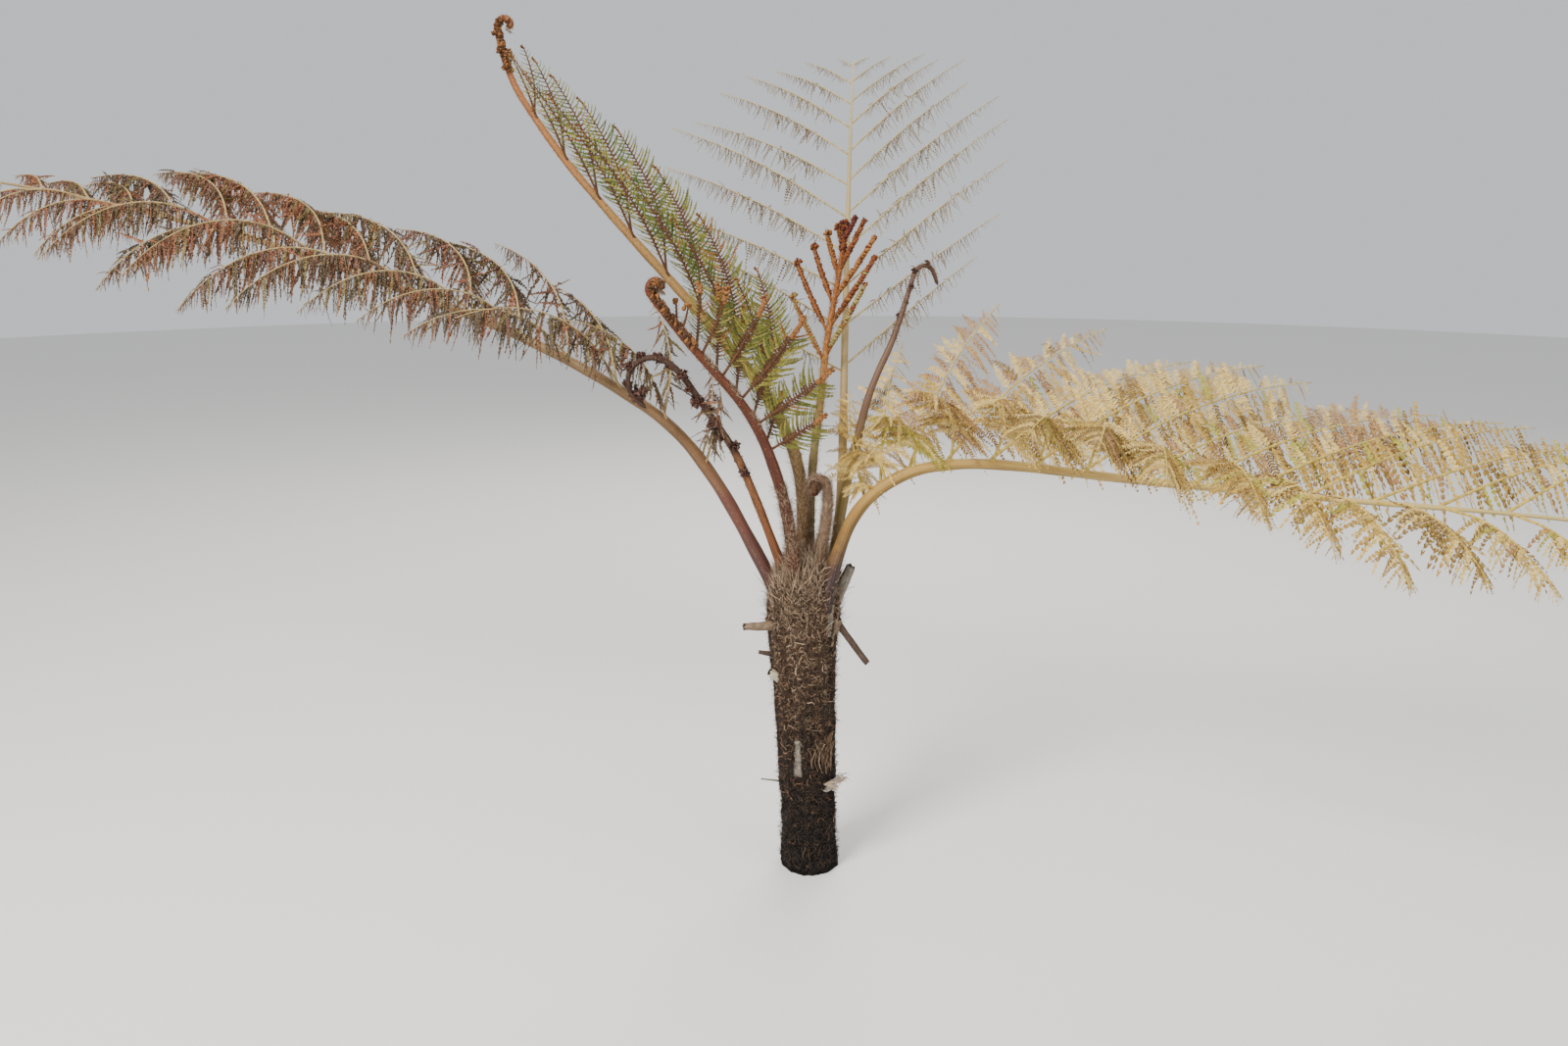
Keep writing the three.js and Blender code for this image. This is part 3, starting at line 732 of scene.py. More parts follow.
def leaf_finish(name, colour):
    """A plain colour with a little mottling."""
    material, shader, wire = new_finish(name, LEAF_ROUGHNESS, specular=0.25)
    mottle = wire.node("ShaderNodeTexCoord", output=3).cloud(120.0, 3.0)
    tone = mottle.ranged(0.3, 0.7).mix(shade(colour, 0.72), shade(colour, 1.22))
    connect(material, tone, shader.inputs["Base Color"])
    connect(material, mottle * 0.3 + (LEAF_ROUGHNESS - 0.15), shader.inputs["Roughness"])
    emboss(material, shader, mottle, 0.3, 0.0006)
    return material


def palette(name, colours):
    return [leaf_finish(f"{name}_{tint}", colour) for tint, colour in colours.items()]


PALETTES = {
    "left_frond": palette("withered", dict(
        straw_rib=(0.34, 0.25, 0.11), mauve=(0.16, 0.075, 0.05), russet=(0.24, 0.095, 0.05),
        grey_brown=(0.1, 0.07, 0.045), olive_brown=(0.19, 0.14, 0.055),
    )),
    "right_frond": palette("golden", dict(
        yellow_rib=(0.5, 0.36, 0.08), cream=(0.64, 0.46, 0.15), gold=(0.4, 0.25, 0.055),
        tan=(0.2, 0.12, 0.036), pink_tan=(0.32, 0.175, 0.08), lime=(0.34, 0.31, 0.045),
    )),
    "front_frond": palette("young_olive", dict(
        brown_rib=(0.085, 0.036, 0.014), olive=(0.13, 0.125, 0.02), green=(0.075, 0.1, 0.017),
        yellow=(0.22, 0.19, 0.035), rust=(0.22, 0.09, 0.025),
    )),
    "red_frond": palette("rusty", dict(
        orange_rib=(0.21, 0.075, 0.02), orange=(0.27, 0.11, 0.028), rust=(0.17, 0.052, 0.016),
        dark=(0.085, 0.018, 0.013), olive_tan=(0.27, 0.2, 0.065),
    )),
    "back_frond": palette("grey_dry", dict(
        straw_rib=(0.4, 0.31, 0.13), tan=(0.29, 0.215, 0.115), grey_tan=(0.21, 0.165, 0.1),
        brown=(0.16, 0.09, 0.045),
    )),
}
PALETTES["tall_frond"] = PALETTES["front_frond"]
print("leaf finishes:", sum(len(rows) for rows in PALETTES.values()))

# %% [markdown]
# ## Leaf segments
# Each leaflet is a rib with toothed segments down both sides. On the dried fronds they hang like
# combs, on the young ones they stand flat, and on the youngest they are still beads. A few feather
# shapes are modelled, and numbers drawn for each place bend and turn every copy a little.

# %% Segment shapes
SHRIVELLED = [feather(seed, 13, 0.13, 0.075, 18, 220) for seed in range(5)]
TOOTHED = [feather(seed, 17, 0.15, 0.034, 34, 30) for seed in range(10, 14)]
LIME = [feather(seed, 7, 0.085, 0.12, 30, 30, midrib=0.03, taper=2.2) for seed in range(20, 24)]
SLENDER = [
    feather(seed, 10, 0.082, 0.105, 34, 30, midrib=0.05, taper=2.2, dark=0.2) for seed in range(24, 28)
]
DRIED = [feather(seed, 9, 0.14, 0.07, 24, 200) for seed in range(30, 34)]
BEADS = [bead(turn) for turn in (250, 330, 420)]
print("faces of a toothed segment:", len(TOOTHED[0].sizes))

# %% Where segments stand
WIDTH_PLACES = (0, 0.13, 0.2, 0.3, 0.58, 0.82, 0.93, 1)
WIDTH_SHARES = (0, 0.25, 0.7, 0.95, 0.92, 0.55, 0.28, 0.1)


def segment_places(v, row, gap, first, leans, pull, stray, draw):
    """Where the segments of one row of a leaflet stand, their directions, and half the width there."""
    start = first + (0.5 * gap / v["length"] if row < 0 else 0)
    at = np.arange(start, 0.985, gap / v["length"])

    def pick(key):
        return np.stack([np.interp(at, v["share"], v[key][:, k]) for k in range(3)], -1)

    point, heading, across = pick("point"), pick("heading"), pick("across")
    half = np.interp(at, WIDTH_PLACES, WIDTH_SHARES) * v["width"] / 2
    lean = np.radians(np.interp(at, (0, 1), leans) + 0.6 * stray * draw.normal(size=at.shape))[:, None]
    weight = pull * (1 + 0.02 * stray * draw.normal(size=at.shape))[:, None]
    along = unit(heading * np.cos(lean) + row * across * np.sin(lean) - UP * weight)
    up = row * np.cross(heading, along) + 0.03 * stray * draw.normal(size=along.shape)
    return at, point, heading, along, up, half


# %% Growing the segments
EVEN = {1: 0.14, -1: 0.14}
HALFWAY = 0.45
TIP_SHAPES_FROM = 0.55


def deal_segments(heap, draw, shapes, chosen, point, along, up, size, bend, tint):
    """Deals the chosen places out among a few shapes."""
    kind = draw.integers(0, len(shapes), len(point))
    for k, shape in enumerate(shapes):
        picked = chosen & (kind == k)
        if picked.any():
            scale = np.repeat(size[picked, None], 3, 1)
            corners = dealt(shape, point[picked], along[picked], up[picked], scale, bend[picked])
            colours = np.stack([np.zeros(picked.sum(), int), tint[picked]], -1)
            heap.add(shape, corners, colours if shape.tints.max() else colours[:, 1:])


def grow(name, slot, nodes, shapes, gap, pulls, stray, droop, leans, rib, tints, seed, first=EVEN, size=1.0,
         coil=0, furled=None, missing=(0, 0), tip_shapes=None, hook=0.1, plain=0.5):
    """Makes one frond's ribs, and the leaf segments of its inner and of its outer part.

    gap, pulls and first are given for each side, and tints are weights at the frond's foot and tip.
    """
    draw = np.random.default_rng(seed)
    ribs, heaps = Heap(), {"inner": Heap(), "outer": Heap()}
    leaflets = leaflets_of(name, coil)
    tube = pipe(6, len(leaflets[0]["point"]) - 1)
    for v in leaflets:
        side, place = v["side"], v["place"]
        blades = heaps["inner" if place < HALFWAY else "outer"]
        radii = rib[1] + (rib[0] - rib[1]) * (1 - v["share"]).clip(0) ** 1.3
        ribs.add(tube, swept(tube, v["point"], v["across"] * side, v["face"], radii), [[0]])
        weights = np.array(tints[0]) * (1 - place) + np.array(tints[1]) * place
        weights = weights / weights.sum()
        main = draw.choice(len(weights), p=weights)
        for row, pull in zip((1, -1), pulls[side]):
            at, point, heading, along, up, half = segment_places(
                v, row, np.interp(place, (0, 0.6), gap[side]), first[side], leans, pull, stray, draw)
            kept = draw.random(len(at)) >= missing[0] * max(1 - 3 * place, 0) + missing[1]
            long = half * size * (1 + 0.1 * draw.normal(size=at.shape))
            bend = -UP * (droop * long * (1 + 0.5 * draw.normal(size=at.shape)))[:, None]
            bend = bend + heading * (hook * long * (0.5 + draw.random(at.shape)))[:, None]
            bend = bend + draw.normal(size=(len(at), 3)) * (0.006 * stray * long)[:, None]
            same = draw.random(len(at)) < plain
            tint = 1 + np.where(same, main, draw.choice(len(weights), len(at), p=weights))
            rolled = np.zeros(len(at), bool) if furled is None else at > furled["after"]
            kinds = tip_shapes if tip_shapes and place > TIP_SHAPES_FROM else shapes
            deal_segments(blades, draw, kinds, kept & ~rolled, point, along, up, long, bend, tint)
            if rolled.any():
                small = furled["size"] * (0.45 + 0.55 * (half / half.max()) ** 0.5)
                colours = np.full(len(at), furled["tint"]) if furled["tint"] else tint
                deal_segments(blades, draw, BEADS, rolled, point, along, up, small, bend * 0, colours)
    ribs.make(name + "_ribs", PALETTES[name], slot, *nodes)
    for half, blades in heaps.items():
        blades.make(f"{name}_{half}_segments", PALETTES[name], slot)


# %% The six leafy fronds
RED_COIL = 22

grow(
    "left_frond", "withered_brown_leaf", ("left_frond_inner", "left_frond_outer"), SHRIVELLED,
    gap={1: (8, 7), -1: (8, 7)}, pulls={1: (1.6, 1.9), -1: (1.6, 1.3)}, stray=27, droop=0.35,
    leans=(80, 50), rib=(2.9, 0.8), tints=((2, 1.5, 3, 1.5), (3, 2.5, 1, 1)), seed=1, size=1.15,
    missing=(0.45, 0.03), plain=0.3,
)
grow(
    "right_frond", "golden_dry_leaf", ("right_frond_inner", "right_frond_outer"), TOOTHED,
    gap={1: (12, 17), -1: (3, 9)}, pulls={1: (1.3, -0.25), -1: (0.9, -0.1)}, stray=11, droop=0.3,
    leans=(84, 48), rib=(3.6, 0.9), tints=((4, 3, 1.2, 0.9, 0), (3, 2, 1, 0.6, 1.5)), seed=2,
    first={1: 0.14, -1: 0.28}, size=1.45, missing=(0, 0.02), tip_shapes=LIME, plain=0.35,
)
grow(
    "front_frond", "olive_leaf", ("front_frond_blade",), SLENDER,
    gap={1: (6.5, 7), -1: (6.5, 7)}, pulls={1: (0.1, -0.1), -1: (0.1, -0.1)}, stray=7, droop=0,
    leans=(80, 56), rib=(3.2, 1.4), tints=((3, 2, 2, 0), (2, 1, 2, 1)), seed=3, size=1.05, coil=22,
    furled=dict(after=0.74, size=12, tint=4), hook=0.35,
)
grow(
    "tall_frond", "olive_leaf", ("tall_frond_lower", "tall_frond_upper"), SLENDER,
    gap={1: (7.5, 10), -1: (7.5, 10)}, pulls={1: (0.1, -0.1), -1: (0.1, -0.1)}, stray=7, droop=0,
    leans=(82, 56), rib=(3.0, 1.1), tints=((3, 3, 2, 0), (2, 1, 3, 0.6)), seed=4, size=1.15, coil=24,
    furled=dict(after=0.88, size=7, tint=4), hook=0.35,
)
grow(
    "red_frond", "rusty_leaf", ("red_frond_blade",), BEADS,
    gap={1: (7, 7), -1: (7, 7)}, pulls={1: (0, 0), -1: (0, 0)}, stray=9, droop=0, leans=(66, 50),
    rib=(3.6, 1.8), tints=((1, 1, 0, 1), (1, 2, 1, 0)), seed=5, coil=RED_COIL,
    furled=dict(after=0.0, size=12, tint=None), plain=0.85,
)
grow(
    "back_frond", "grey_dry_leaf", ("back_frond_lower", "back_frond_upper"), DRIED,
    gap={1: (7, 8), -1: (7, 8)}, pulls={1: (1.3, 1.3), -1: (1.3, 1.3)}, stray=18, droop=0.3,
    leans=(74, 50), rib=(2.2, 0.7), tints=((3, 2, 1), (2, 2, 3)), seed=6, size=1.3, missing=(0.05, 0.08),
)

# %% [markdown]
# ## Furled heads
# The youngest leaflets are still fists. Small coils stand in rows on the inside of each rolled stem,
# and a dark knot of them closes the tip of every rusty leaflet.


# %% Rows of furled leaflets
def any_of(draw, choices, count):
    return np.array(choices)[draw.integers(0, len(choices), count)]


def furl(heap, draw, name, start, end, gap, size, tints, turns=(-75, -35, 0, 35, 75)):
    """Small coils along the inner side of a stem, between two distances."""
    frond = FRONDS[name]
    for turn in turns:
        s = np.arange(start, end, gap) + gap * draw.random()
        tangent, left, above = frame_at(frond, s)
        angle = math.radians(turn)
        out = above * math.cos(angle) + left * math.sin(angle)
        share = (s - start) / (end - start)
        long = np.interp(share, (0, 1), size) * draw.uniform(0.75, 1.2, len(s))
        origin = place_at(frond, s) + out * (stem_radius(frond, s) * 0.8)[:, None]
        along = unit(out + tangent * 0.5 + 0.25 * draw.normal(size=out.shape))
        up = unit(np.cross(out, tangent) + 0.4 * draw.normal(size=out.shape))
        fists(heap, draw, origin, along, up, long, any_of(draw, tints, len(s)))


def fists(heap, draw, origin, along, up, size, colours):
    """Deals one rolled-up leaflet to each origin."""
    kind = draw.integers(0, len(BEADS), len(origin))
    for k, shape in enumerate(BEADS):
        picked = kind == k
        if picked.any():
            scale = size[picked, None] * (0.85, 1.2, 0.95)
            corners = dealt(shape, origin[picked], along[picked], up[picked], scale)
            heap.add(shape, corners, colours[picked][:, None])


def knot(heap, draw, middle, radius, count, size, tints):
    """A ball of fists that all point outward."""
    out = unit(draw.normal(size=(count, 3)))
    origin = middle + out * (radius * draw.uniform(0.2, 0.8, count))[:, None]
    colours = any_of(draw, tints, count)
    up = unit(draw.normal(size=(count, 3)))
    fists(heap, draw, origin, out, up, size * draw.uniform(0.7, 1.3, count), colours)


# %% Heads of the young fronds
def heads():
    draw = np.random.default_rng(30)
    olive, rusty = Heap(), Heap()
    end = stem_end(FRONDS["front_frond"])
    furl(olive, draw, "front_frond", end - 200, end - 4, 7, (12, 9), (0, 4, 0, 0))
    tall = FRONDS["tall_frond"]
    end = stem_end(tall)
    furl(olive, draw, "tall_frond", end - 150, end - 4, 6, (9, 7), (0, 4, 0))
    for share in (0.9, 0.925, 0.95):
        for away in (16, -16):
            middle = place_at(tall, end * share) + frame_at(tall, end * share)[1][0] * away
            knot(olive, draw, middle, 6, 18, 4.5, (0, 4, 0))
    olive.make("young_heads", PALETTES["front_frond"], "olive_leaf")
    end = stem_end(FRONDS["red_frond"])
    furl(rusty, draw, "red_frond", end - 60, end - 2, 8, (8, 6), (2, 3, 3), turns=range(0, 360, 60))
    knot(rusty, draw, place_at(FRONDS["red_frond"], end - 6), 14, 46, 8, (3, 3, 3, 2))
    for v in leaflets_of("red_frond", RED_COIL):
        knot(rusty, draw, v["point"][-4], 6, 14, 5, (3, 2, 3))
    rusty.make("rusty_knots", PALETTES["red_frond"], "rusty_leaf")


heads()

# %% [markdown]
# ## The trunk
# The trunk is a mat of dark root fibre over old leaf bases. A profile is spun round the middle and
# its points are then moved in and out by noise: broad lumps, upright strands and small crumbs. The
# silhouette is rough because of real fibres, which come after it.

# %% The bark
TRUNK = [
    (0, 0, 64), (45, -1, 59), (130, -4, 58), (215, -6, 60), (300, -8, 60), (385, -10, 61),
    (455, -13, 65), (520, -15, 70), (580, -15, 73), (630, -14, 74), (668, -12, 67), (694, -10, 52),
    (708, -8, 30), (713, -8, 0),
]
BARK_SIDES = 150
BARK_STEP = 2.6
BARK_TOP = 706
CROWN_FOOT = 630
TRUNK_HEIGHTS, TRUNK_MIDDLES, TRUNK_RADII = [np.array(column, float) for column in zip(*TRUNK)]


def trunk_middle(z):
    return np.interp(z, TRUNK_HEIGHTS, TRUNK_MIDDLES)


def profile(z):
    return np.interp(z, TRUNK_HEIGHTS, TRUNK_RADII)


def trunk_radius(angle, z):
    share = np.clip((z - 60) / 360, 0, 1)
    share = share * share * (3 - 2 * share) * 0.055
    wave = 1 + share * np.cos(9 * angle + z / 160) + 0.02 * np.sin(3 * angle + z / 90)
    return profile(z) * wave


def relief(x, y, z):
    """How far the bark stands out at a point, in millimetres."""
    lumps = noise.noise(Vector((x / 22, y / 22, z / 48)))
    strands = 1 - 2 * abs(noise.noise(Vector((x / 6, y / 6, z / 13 + 7))))
    crumbs = noise.noise(Vector((x / 3.2, y / 3.2, z / 3.6)))
    return 5 * lumps + 2.4 * (strands - 0.5) + 2 * crumbs


def make_bark():
    heights = np.arange(0, BARK_TOP + BARK_STEP, BARK_STEP)
    bm = bmesh.new()
    chain = [bm.verts.new((0, 0, 0))]
    chain += [bm.verts.new((float(profile(z)), 0, z)) for z in heights]
    chain.append(bm.verts.new((0, 0, BARK_TOP + 4)))
    edges = [bm.edges.new(pair) for pair in zip(chain, chain[1:])]
    bmesh.ops.spin(
        bm, geom=chain + edges, cent=(0, 0, 0), axis=(0, 0, 1), angle=math.tau, steps=BARK_SIDES,
        use_merge=True, use_duplicate=False,
    )
    bmesh.ops.recalc_face_normals(bm, faces=bm.faces[:])
    shape = Shape(bm)
    placed = []
    for x, y, z in shape.corners:
        flat = math.hypot(x, y)
        angle = math.atan2(y, x)
        stands = relief(x, y, z) * min(flat / 30, 1)
        radius = flat * trunk_radius(angle, z) / max(profile(z), 1) + stands
        lift = stands * 0.5 if z > CROWN_FOOT else 0
        placed.append((trunk_middle(z) + radius * math.cos(angle), radius * math.sin(angle), z + lift))
    heap = Heap()
    heap.add(shape, np.array(placed)[None], [[0]])
    heap.make("trunk_bark", [bark_finish()], "trunk_fibre", "trunk")


def bark_finish():
    """Fibres from near black at the foot to brown at the crown, with painted shade in the gaps between
    strands.
    """
    material, shader, wire = new_finish("matted_bark", 0.92, specular=0.15)
    where = wire.node("ShaderNodeTexCoord", output=3)
    pulled = wire.node("ShaderNodeMapping", None, {"Vector": where, "Scale": (1.0, 1.0, 0.55)})
    strands = pulled.cloud(210.0, 6.0)
    crumbs = where.cloud(330.0, 4.0)
    lumps = where.cloud(28.0, 3.0)
    parts = where.node("ShaderNodeSeparateXYZ", None, {0: where}, output=2)
    height = parts.ranged(0.0, 0.72) + (lumps - 0.5) * 0.35
    # Partly the matte's own dark colour, partly painted shade: the bark is kept dark so that the gaps
    # between the fibres over it look shaded.
    base = height.ramp([
        (0.0, (0.006, 0.005, 0.004)), (0.16, (0.011, 0.008, 0.006)), (0.35, (0.02, 0.013, 0.009)),
        (0.62, (0.035, 0.022, 0.014)), (0.85, (0.055, 0.035, 0.023)), (1.0, (0.07, 0.047, 0.032)),
    ])
    light = base.scaled(1.6)
    # Painted shade: between the raised strands the bark drops to a third of its colour, as if the gaps were
    # in shadow.
    dark = base.scaled(0.3)
    colour = strands.ranged(0.35, 0.55).mix(dark, base)
    colour = (strands.ranged(0.56, 0.7) * 0.8).mix(colour, light)
    colour = (crumbs.ranged(0.62, 0.72) * 0.5).mix(colour, light)
    connect(material, colour, shader.inputs["Base Color"])
    emboss(material, shader, strands * 0.7 + crumbs * 0.3, 0.8, 0.002)
    return material


make_bark()

# %% [markdown]
# ## Fibres and hair
# Hair and root fibre are thin strips with a bend. They are dealt over a surface with a direction, a
# lean and a tint that depend on where they are: near black at the foot, brown in the middle and
# pale tan round the crown, where the young stalks are furry.

# %% Fibre finishes
FIBRES = palette("fibre", dict(
    soot=(0.02, 0.015, 0.013), umber=(0.038, 0.024, 0.016), brown=(0.08, 0.048, 0.029),
    russet=(0.15, 0.078, 0.043), tan=(0.27, 0.18, 0.11), pale=(0.45, 0.34, 0.23), grey=(0.3, 0.28, 0.25),
    fur=(0.36, 0.26, 0.18), orange=(0.38, 0.15, 0.04), dark_red=(0.13, 0.035, 0.015),
))
SOOT, UMBER, BROWN, RUSSET, TAN, PALE, GREY, FUR, ORANGE, DARK_RED = range(10)


def kinked(curl, wave, phase):
    """A fibre that wanders from side to side."""
    shape = strand([0.7, 1, 0.9, 0.7, 0], curl)
    along = shape.corners[:, 1]
    shape.corners[:, 0] += wave * along * np.sin(phase + 8 * along)
    return shape


KINKS = ((-30, 2.8, 0), (-120, 3.2, 2), (10, 2.8, 4), (-60, 3.4, 1), (40, 2.4, 3))
TUFTS = [kinked(*kink) for kink in KINKS]


def strew(heap, draw, origin, along, up, length, width, colours, stray=0.25, bend=0.2, shapes=TUFTS):
    """Deals one hair to each origin. Its bend lies mostly across up, so that it hugs what it grows on."""
    count = len(origin)
    along = unit(along + stray * draw.normal(size=(count, 3)))
    curve = bend * length[:, None] * draw.normal(size=(count, 3))
    curve = curve - 0.7 * (curve * unit(up)).sum(-1, keepdims=True) * unit(up)
    kinds = draw.integers(0, len(shapes), count)
    for k, shape in enumerate(shapes):
        picked = kinds == k
        if picked.any():
            size = np.stack([width[picked], length[picked], length[picked]], -1)
            corners = dealt(shape, origin[picked], along[picked], up[picked], size, curve[picked])
            heap.add(shape, corners, colours[picked][:, None])


def outward(angle):
    return np.stack([np.cos(angle), np.sin(angle), angle * 0], -1)


def trunk_points(draw, count, low, high):
    """Places on the bark, with their outward directions."""
    z = low + (high - low) * draw.random(count)
    angle = draw.random(count) * math.tau
    out = outward(angle)
    plain = out * profile(z)[:, None]
    stands = np.array([relief(x, y, level) for (x, y, _), level in zip(plain, z)])
    origin = out * (trunk_radius(angle, z) + stands)[:, None]
    origin[:, 0] += trunk_middle(z)
    origin[:, 2] = z
    return origin, out, z


# %% Fibres on the trunk
# Each row has the tints of one band of fibres, from the foot up.
FIBRE_BANDS = np.array([
    [SOOT, SOOT, SOOT, SOOT, SOOT, UMBER, SOOT, BROWN],
    [SOOT, SOOT, UMBER, SOOT, BROWN, SOOT, UMBER, RUSSET],
    [SOOT, UMBER, UMBER, SOOT, BROWN, RUSSET, UMBER, TAN],
    [UMBER, SOOT, BROWN, RUSSET, TAN, UMBER, BROWN, FUR],
    [UMBER, SOOT, RUSSET, BROWN, TAN, TAN, BROWN, PALE],
])
KEEP_ABOVE = 9


def trunk_fibres(seed, low, high, count):
    """Short curly fibres that run up, down and round the bark. None of them points into the ground."""
    draw = np.random.default_rng(seed)
    heap = Heap()
    origin, out, z = trunk_points(draw, count, low, high)
    way = draw.random(count)
    turn = draw.normal(size=count) * 1.1
    round_ = np.cross(UP, out)
    upward = np.where(way < 0.6, 1.0, -1.0)[:, None]
    along = UP * upward * np.cos(turn)[:, None] + round_ * np.sin(turn)[:, None]
    along = along + out * (0.55 * draw.random(count) ** 4)[:, None]
    length = 7 + 17 * draw.random(count) ** 1.6
    width = 0.8 + 1.3 * draw.random(count) ** 2
    level = np.clip(z / 700 + 0.1 * draw.normal(size=count), 0, 0.999)
    colours = FIBRE_BANDS[(level * len(FIBRE_BANDS)).astype(int), draw.integers(0, 8, count)]
    foot = origin[:, 2] + length * np.minimum(along[:, 2], 0) < KEEP_ABOVE
    along[foot] = np.abs(along[foot]) * (0.3, 0.3, 1) + out[foot] * 0.1
    facing = out + 0.4 * draw.normal(size=(count, 3))
    strew(heap, draw, origin - out * 0.6, along, facing, length, width, colours, stray=0.1, bend=0.2)
    return heap


trunk_fibres(40, 8, 370, 20000).make("trunk_fibres_low", FIBRES, "trunk_fibre")
trunk_fibres(41, 350, 704, 25000).make("trunk_fibres_high", FIBRES, "trunk_fibre")


# %% Hair along a stalk
ROUND = (0, math.tau)


def stalk_hair(heap, draw, name, start, end, count, length, tints, lean, width, low_end=1.0, arc=ROUND):
    """Hair between two distances along a stalk, within an arc round it. Below 1, low_end thins it out."""
    frond = FRONDS[name]
    s = start + (end - start) * draw.random(count) ** (2 - low_end)
    angle = draw.uniform(*arc, count)
    tangent, left, above = frame_at(frond, s)
    out = left * np.cos(angle)[:, None] + above * np.sin(angle)[:, None]
    origin = place_at(frond, s) + out * (stem_radius(frond, s) * 0.92)[:, None]
    tilt = np.radians(draw.uniform(*lean, count))[:, None]
    along = tangent * np.cos(tilt) + out * np.sin(tilt)
    long = length * (0.5 + draw.random(count))
    wide = draw.uniform(*width, count)
    colours = any_of(draw, tints, count)
    strew(heap, draw, origin, along, out, long, wide, colours, stray=0.3, bend=0.15, shapes=HAIRS)


# %% Hair on the crown
PALE_FUR = (PALE, FUR, TAN, PALE, FUR, BROWN)
RUDDY_FUR = (PALE, TAN, FUR, RUSSET, BROWN)
STALK_FEET = [
    ("front_frond", 10, 270, 5200, 15, RUDDY_FUR), ("tall_frond", 10, 330, 5200, 13, PALE_FUR),
    ("red_frond", 10, 330, 3600, 12, PALE_FUR), ("dead_crozier", 0, 100, 900, 14, RUDDY_FUR),
    ("dying_stem", 0, 170, 2600, 14, PALE_FUR), ("back_frond", 0, 170, 1600, 13, PALE_FUR),
    ("right_frond", 0, 60, 420, 15, RUDDY_FUR), ("left_frond", 0, 60, 420, 15, RUDDY_FUR),
]


def crown_hair():
    """Hair all round the crown, longer hair between the stalks, and fur up the stalks' feet."""
    draw = np.random.default_rng(50)
    heap = Heap()
    count = 9000
    origin, out, z = trunk_points(draw, count, 545, 709)
    along = UP + out * draw.uniform(-0.35, 0.12, count)[:, None]
    length = 14 + 30 * draw.random(count) ** 1.3
    width = 0.5 + 0.8 * draw.random(count)
    colours = any_of(draw, [TAN, PALE, UMBER, FUR, RUSSET, BROWN, SOOT, PALE], count)
    facing = out + 0.8 * draw.normal(size=(count, 3))
    strew(heap, draw, origin - out, along, facing, length, width, colours, stray=0.42, bend=0.2)
    count = 2600
    origin, out, z = trunk_points(draw, count, 640, 709)
    along = UP - out * draw.uniform(0, 0.5, count)[:, None]
    length = draw.uniform(26, 58, count)
    colours = any_of(draw, [TAN, PALE, FUR, BROWN], count)
    strew(heap, draw, origin - out, along, out, length, length * 0.018 + 0.2, colours, stray=0.3, bend=0.25)
    for row in STALK_FEET:
        stalk_hair(heap, draw, *row, lean=(8, 48), width=(0.5, 0.95), low_end=0.3)
    return heap


crown_hair().make("crown_hair", FIBRES, "trunk_fibre")

# %% Hair on the young stalks
STALK_HAIR = [
    ("front_frond", 250, 900, 4200, 6, (DARK_RED, RUSSET, DARK_RED, ORANGE)),
    ("tall_frond", 330, 1480, 4800, 5, (RUSSET, ORANGE, BROWN)),
    ("red_frond", 330, 800, 5200, 9, (ORANGE, RUSSET, ORANGE)),
    ("dead_crozier", 190, 760, 3000, 7, (UMBER, BROWN, DARK_RED, UMBER)),
    ("dying_stem", 560, 800, 1000, 6, (UMBER, BROWN, DARK_RED)),
]


def young_hair():
    """Fine hair up the stalks, pale patches inside the front stem, and fur round the rusty leaflets."""
    draw = np.random.default_rng(60)
    heap = Heap()
    fine = dict(lean=(10, 55), width=(0.4, 0.7))
    for row in STALK_HAIR:
        stalk_hair(heap, draw, *row, **fine)
    pale = (PALE, FUR, TAN, PALE)
    for start in range(400, 860, 76):
        stalk_hair(heap, draw, "front_frond", start, start + 42, 650, 8, pale, arc=(0, 3), **fine)
    count = 190
    for v in leaflets_of("red_frond", RED_COIL):
        at = draw.random(count) ** 0.8
        origin = np.stack([np.interp(at, v["share"], v["point"][:, k]) for k in range(3)], -1)
        out = unit(draw.normal(size=(count, 3)))
        colours = any_of(draw, [ORANGE, RUSSET, ORANGE, TAN, DARK_RED], count)
        length = draw.uniform(8, 15, count)
        facing = np.repeat(v["heading"][:1], count, 0)
        strew(heap, draw, origin, out, facing, length, length * 0.06, colours, shapes=HAIRS)
    return heap


young_hair().make("stalk_hair", FIBRES, "olive_stalk")


# %% The furry coil
def coil_fur():
    """Fur down the stem and over the coil, and short red-brown scales over the coil's rolled-up heart."""
    draw = np.random.default_rng(70)
    heap = Heap()
    frond = FRONDS["small_crozier"]
    plain, wound = lengths(frond)
    furry = plain + 0.72 * wound
    stalk_hair(heap, draw, "small_crozier", 0, furry, 11000, 12, (FUR, PALE, TAN, FUR), (6, 34), (0.5, 0.85))
    middle = place_at(frond, plain + wound * np.linspace(0.35, 1, 12)).mean(0)
    share = np.linspace(-1, 1, 13)
    line = middle + (share * 14)[:, None] * (0, 1, 0)
    shape = pipe(18, 12)
    rows = np.ones((13, 1))
    radii = 17 * np.sqrt(1 - share ** 2).clip(0.02)
    heap.add(shape, swept(shape, line, rows * (1, 0, 0), rows * (0, 0, 1), radii), [[RUSSET]])
    count = 1500
    out = unit(draw.normal(size=(count, 3)))
    colours = any_of(draw, [RUSSET, BROWN, DARK_RED, RUSSET, TAN], count)
    length = draw.uniform(6, 12, count)
    along = np.cross(out, (0, 1, 0)) + 0.25 * out
    origin = middle + out * (16.5, 13.5, 16.5)
    strew(heap, draw, origin, along, out, length, length * 0.1, colours, shapes=HAIRS)
    return heap


coil_fur().make("small_crozier_fur", FIBRES, "crozier_fur")

# %% [markdown]
# ## Withered clumps
# The dead crozier and the dying stem carry shrivelled knots of leaf that never opened. Each knot is
# a handful of rolled strips turned every way.

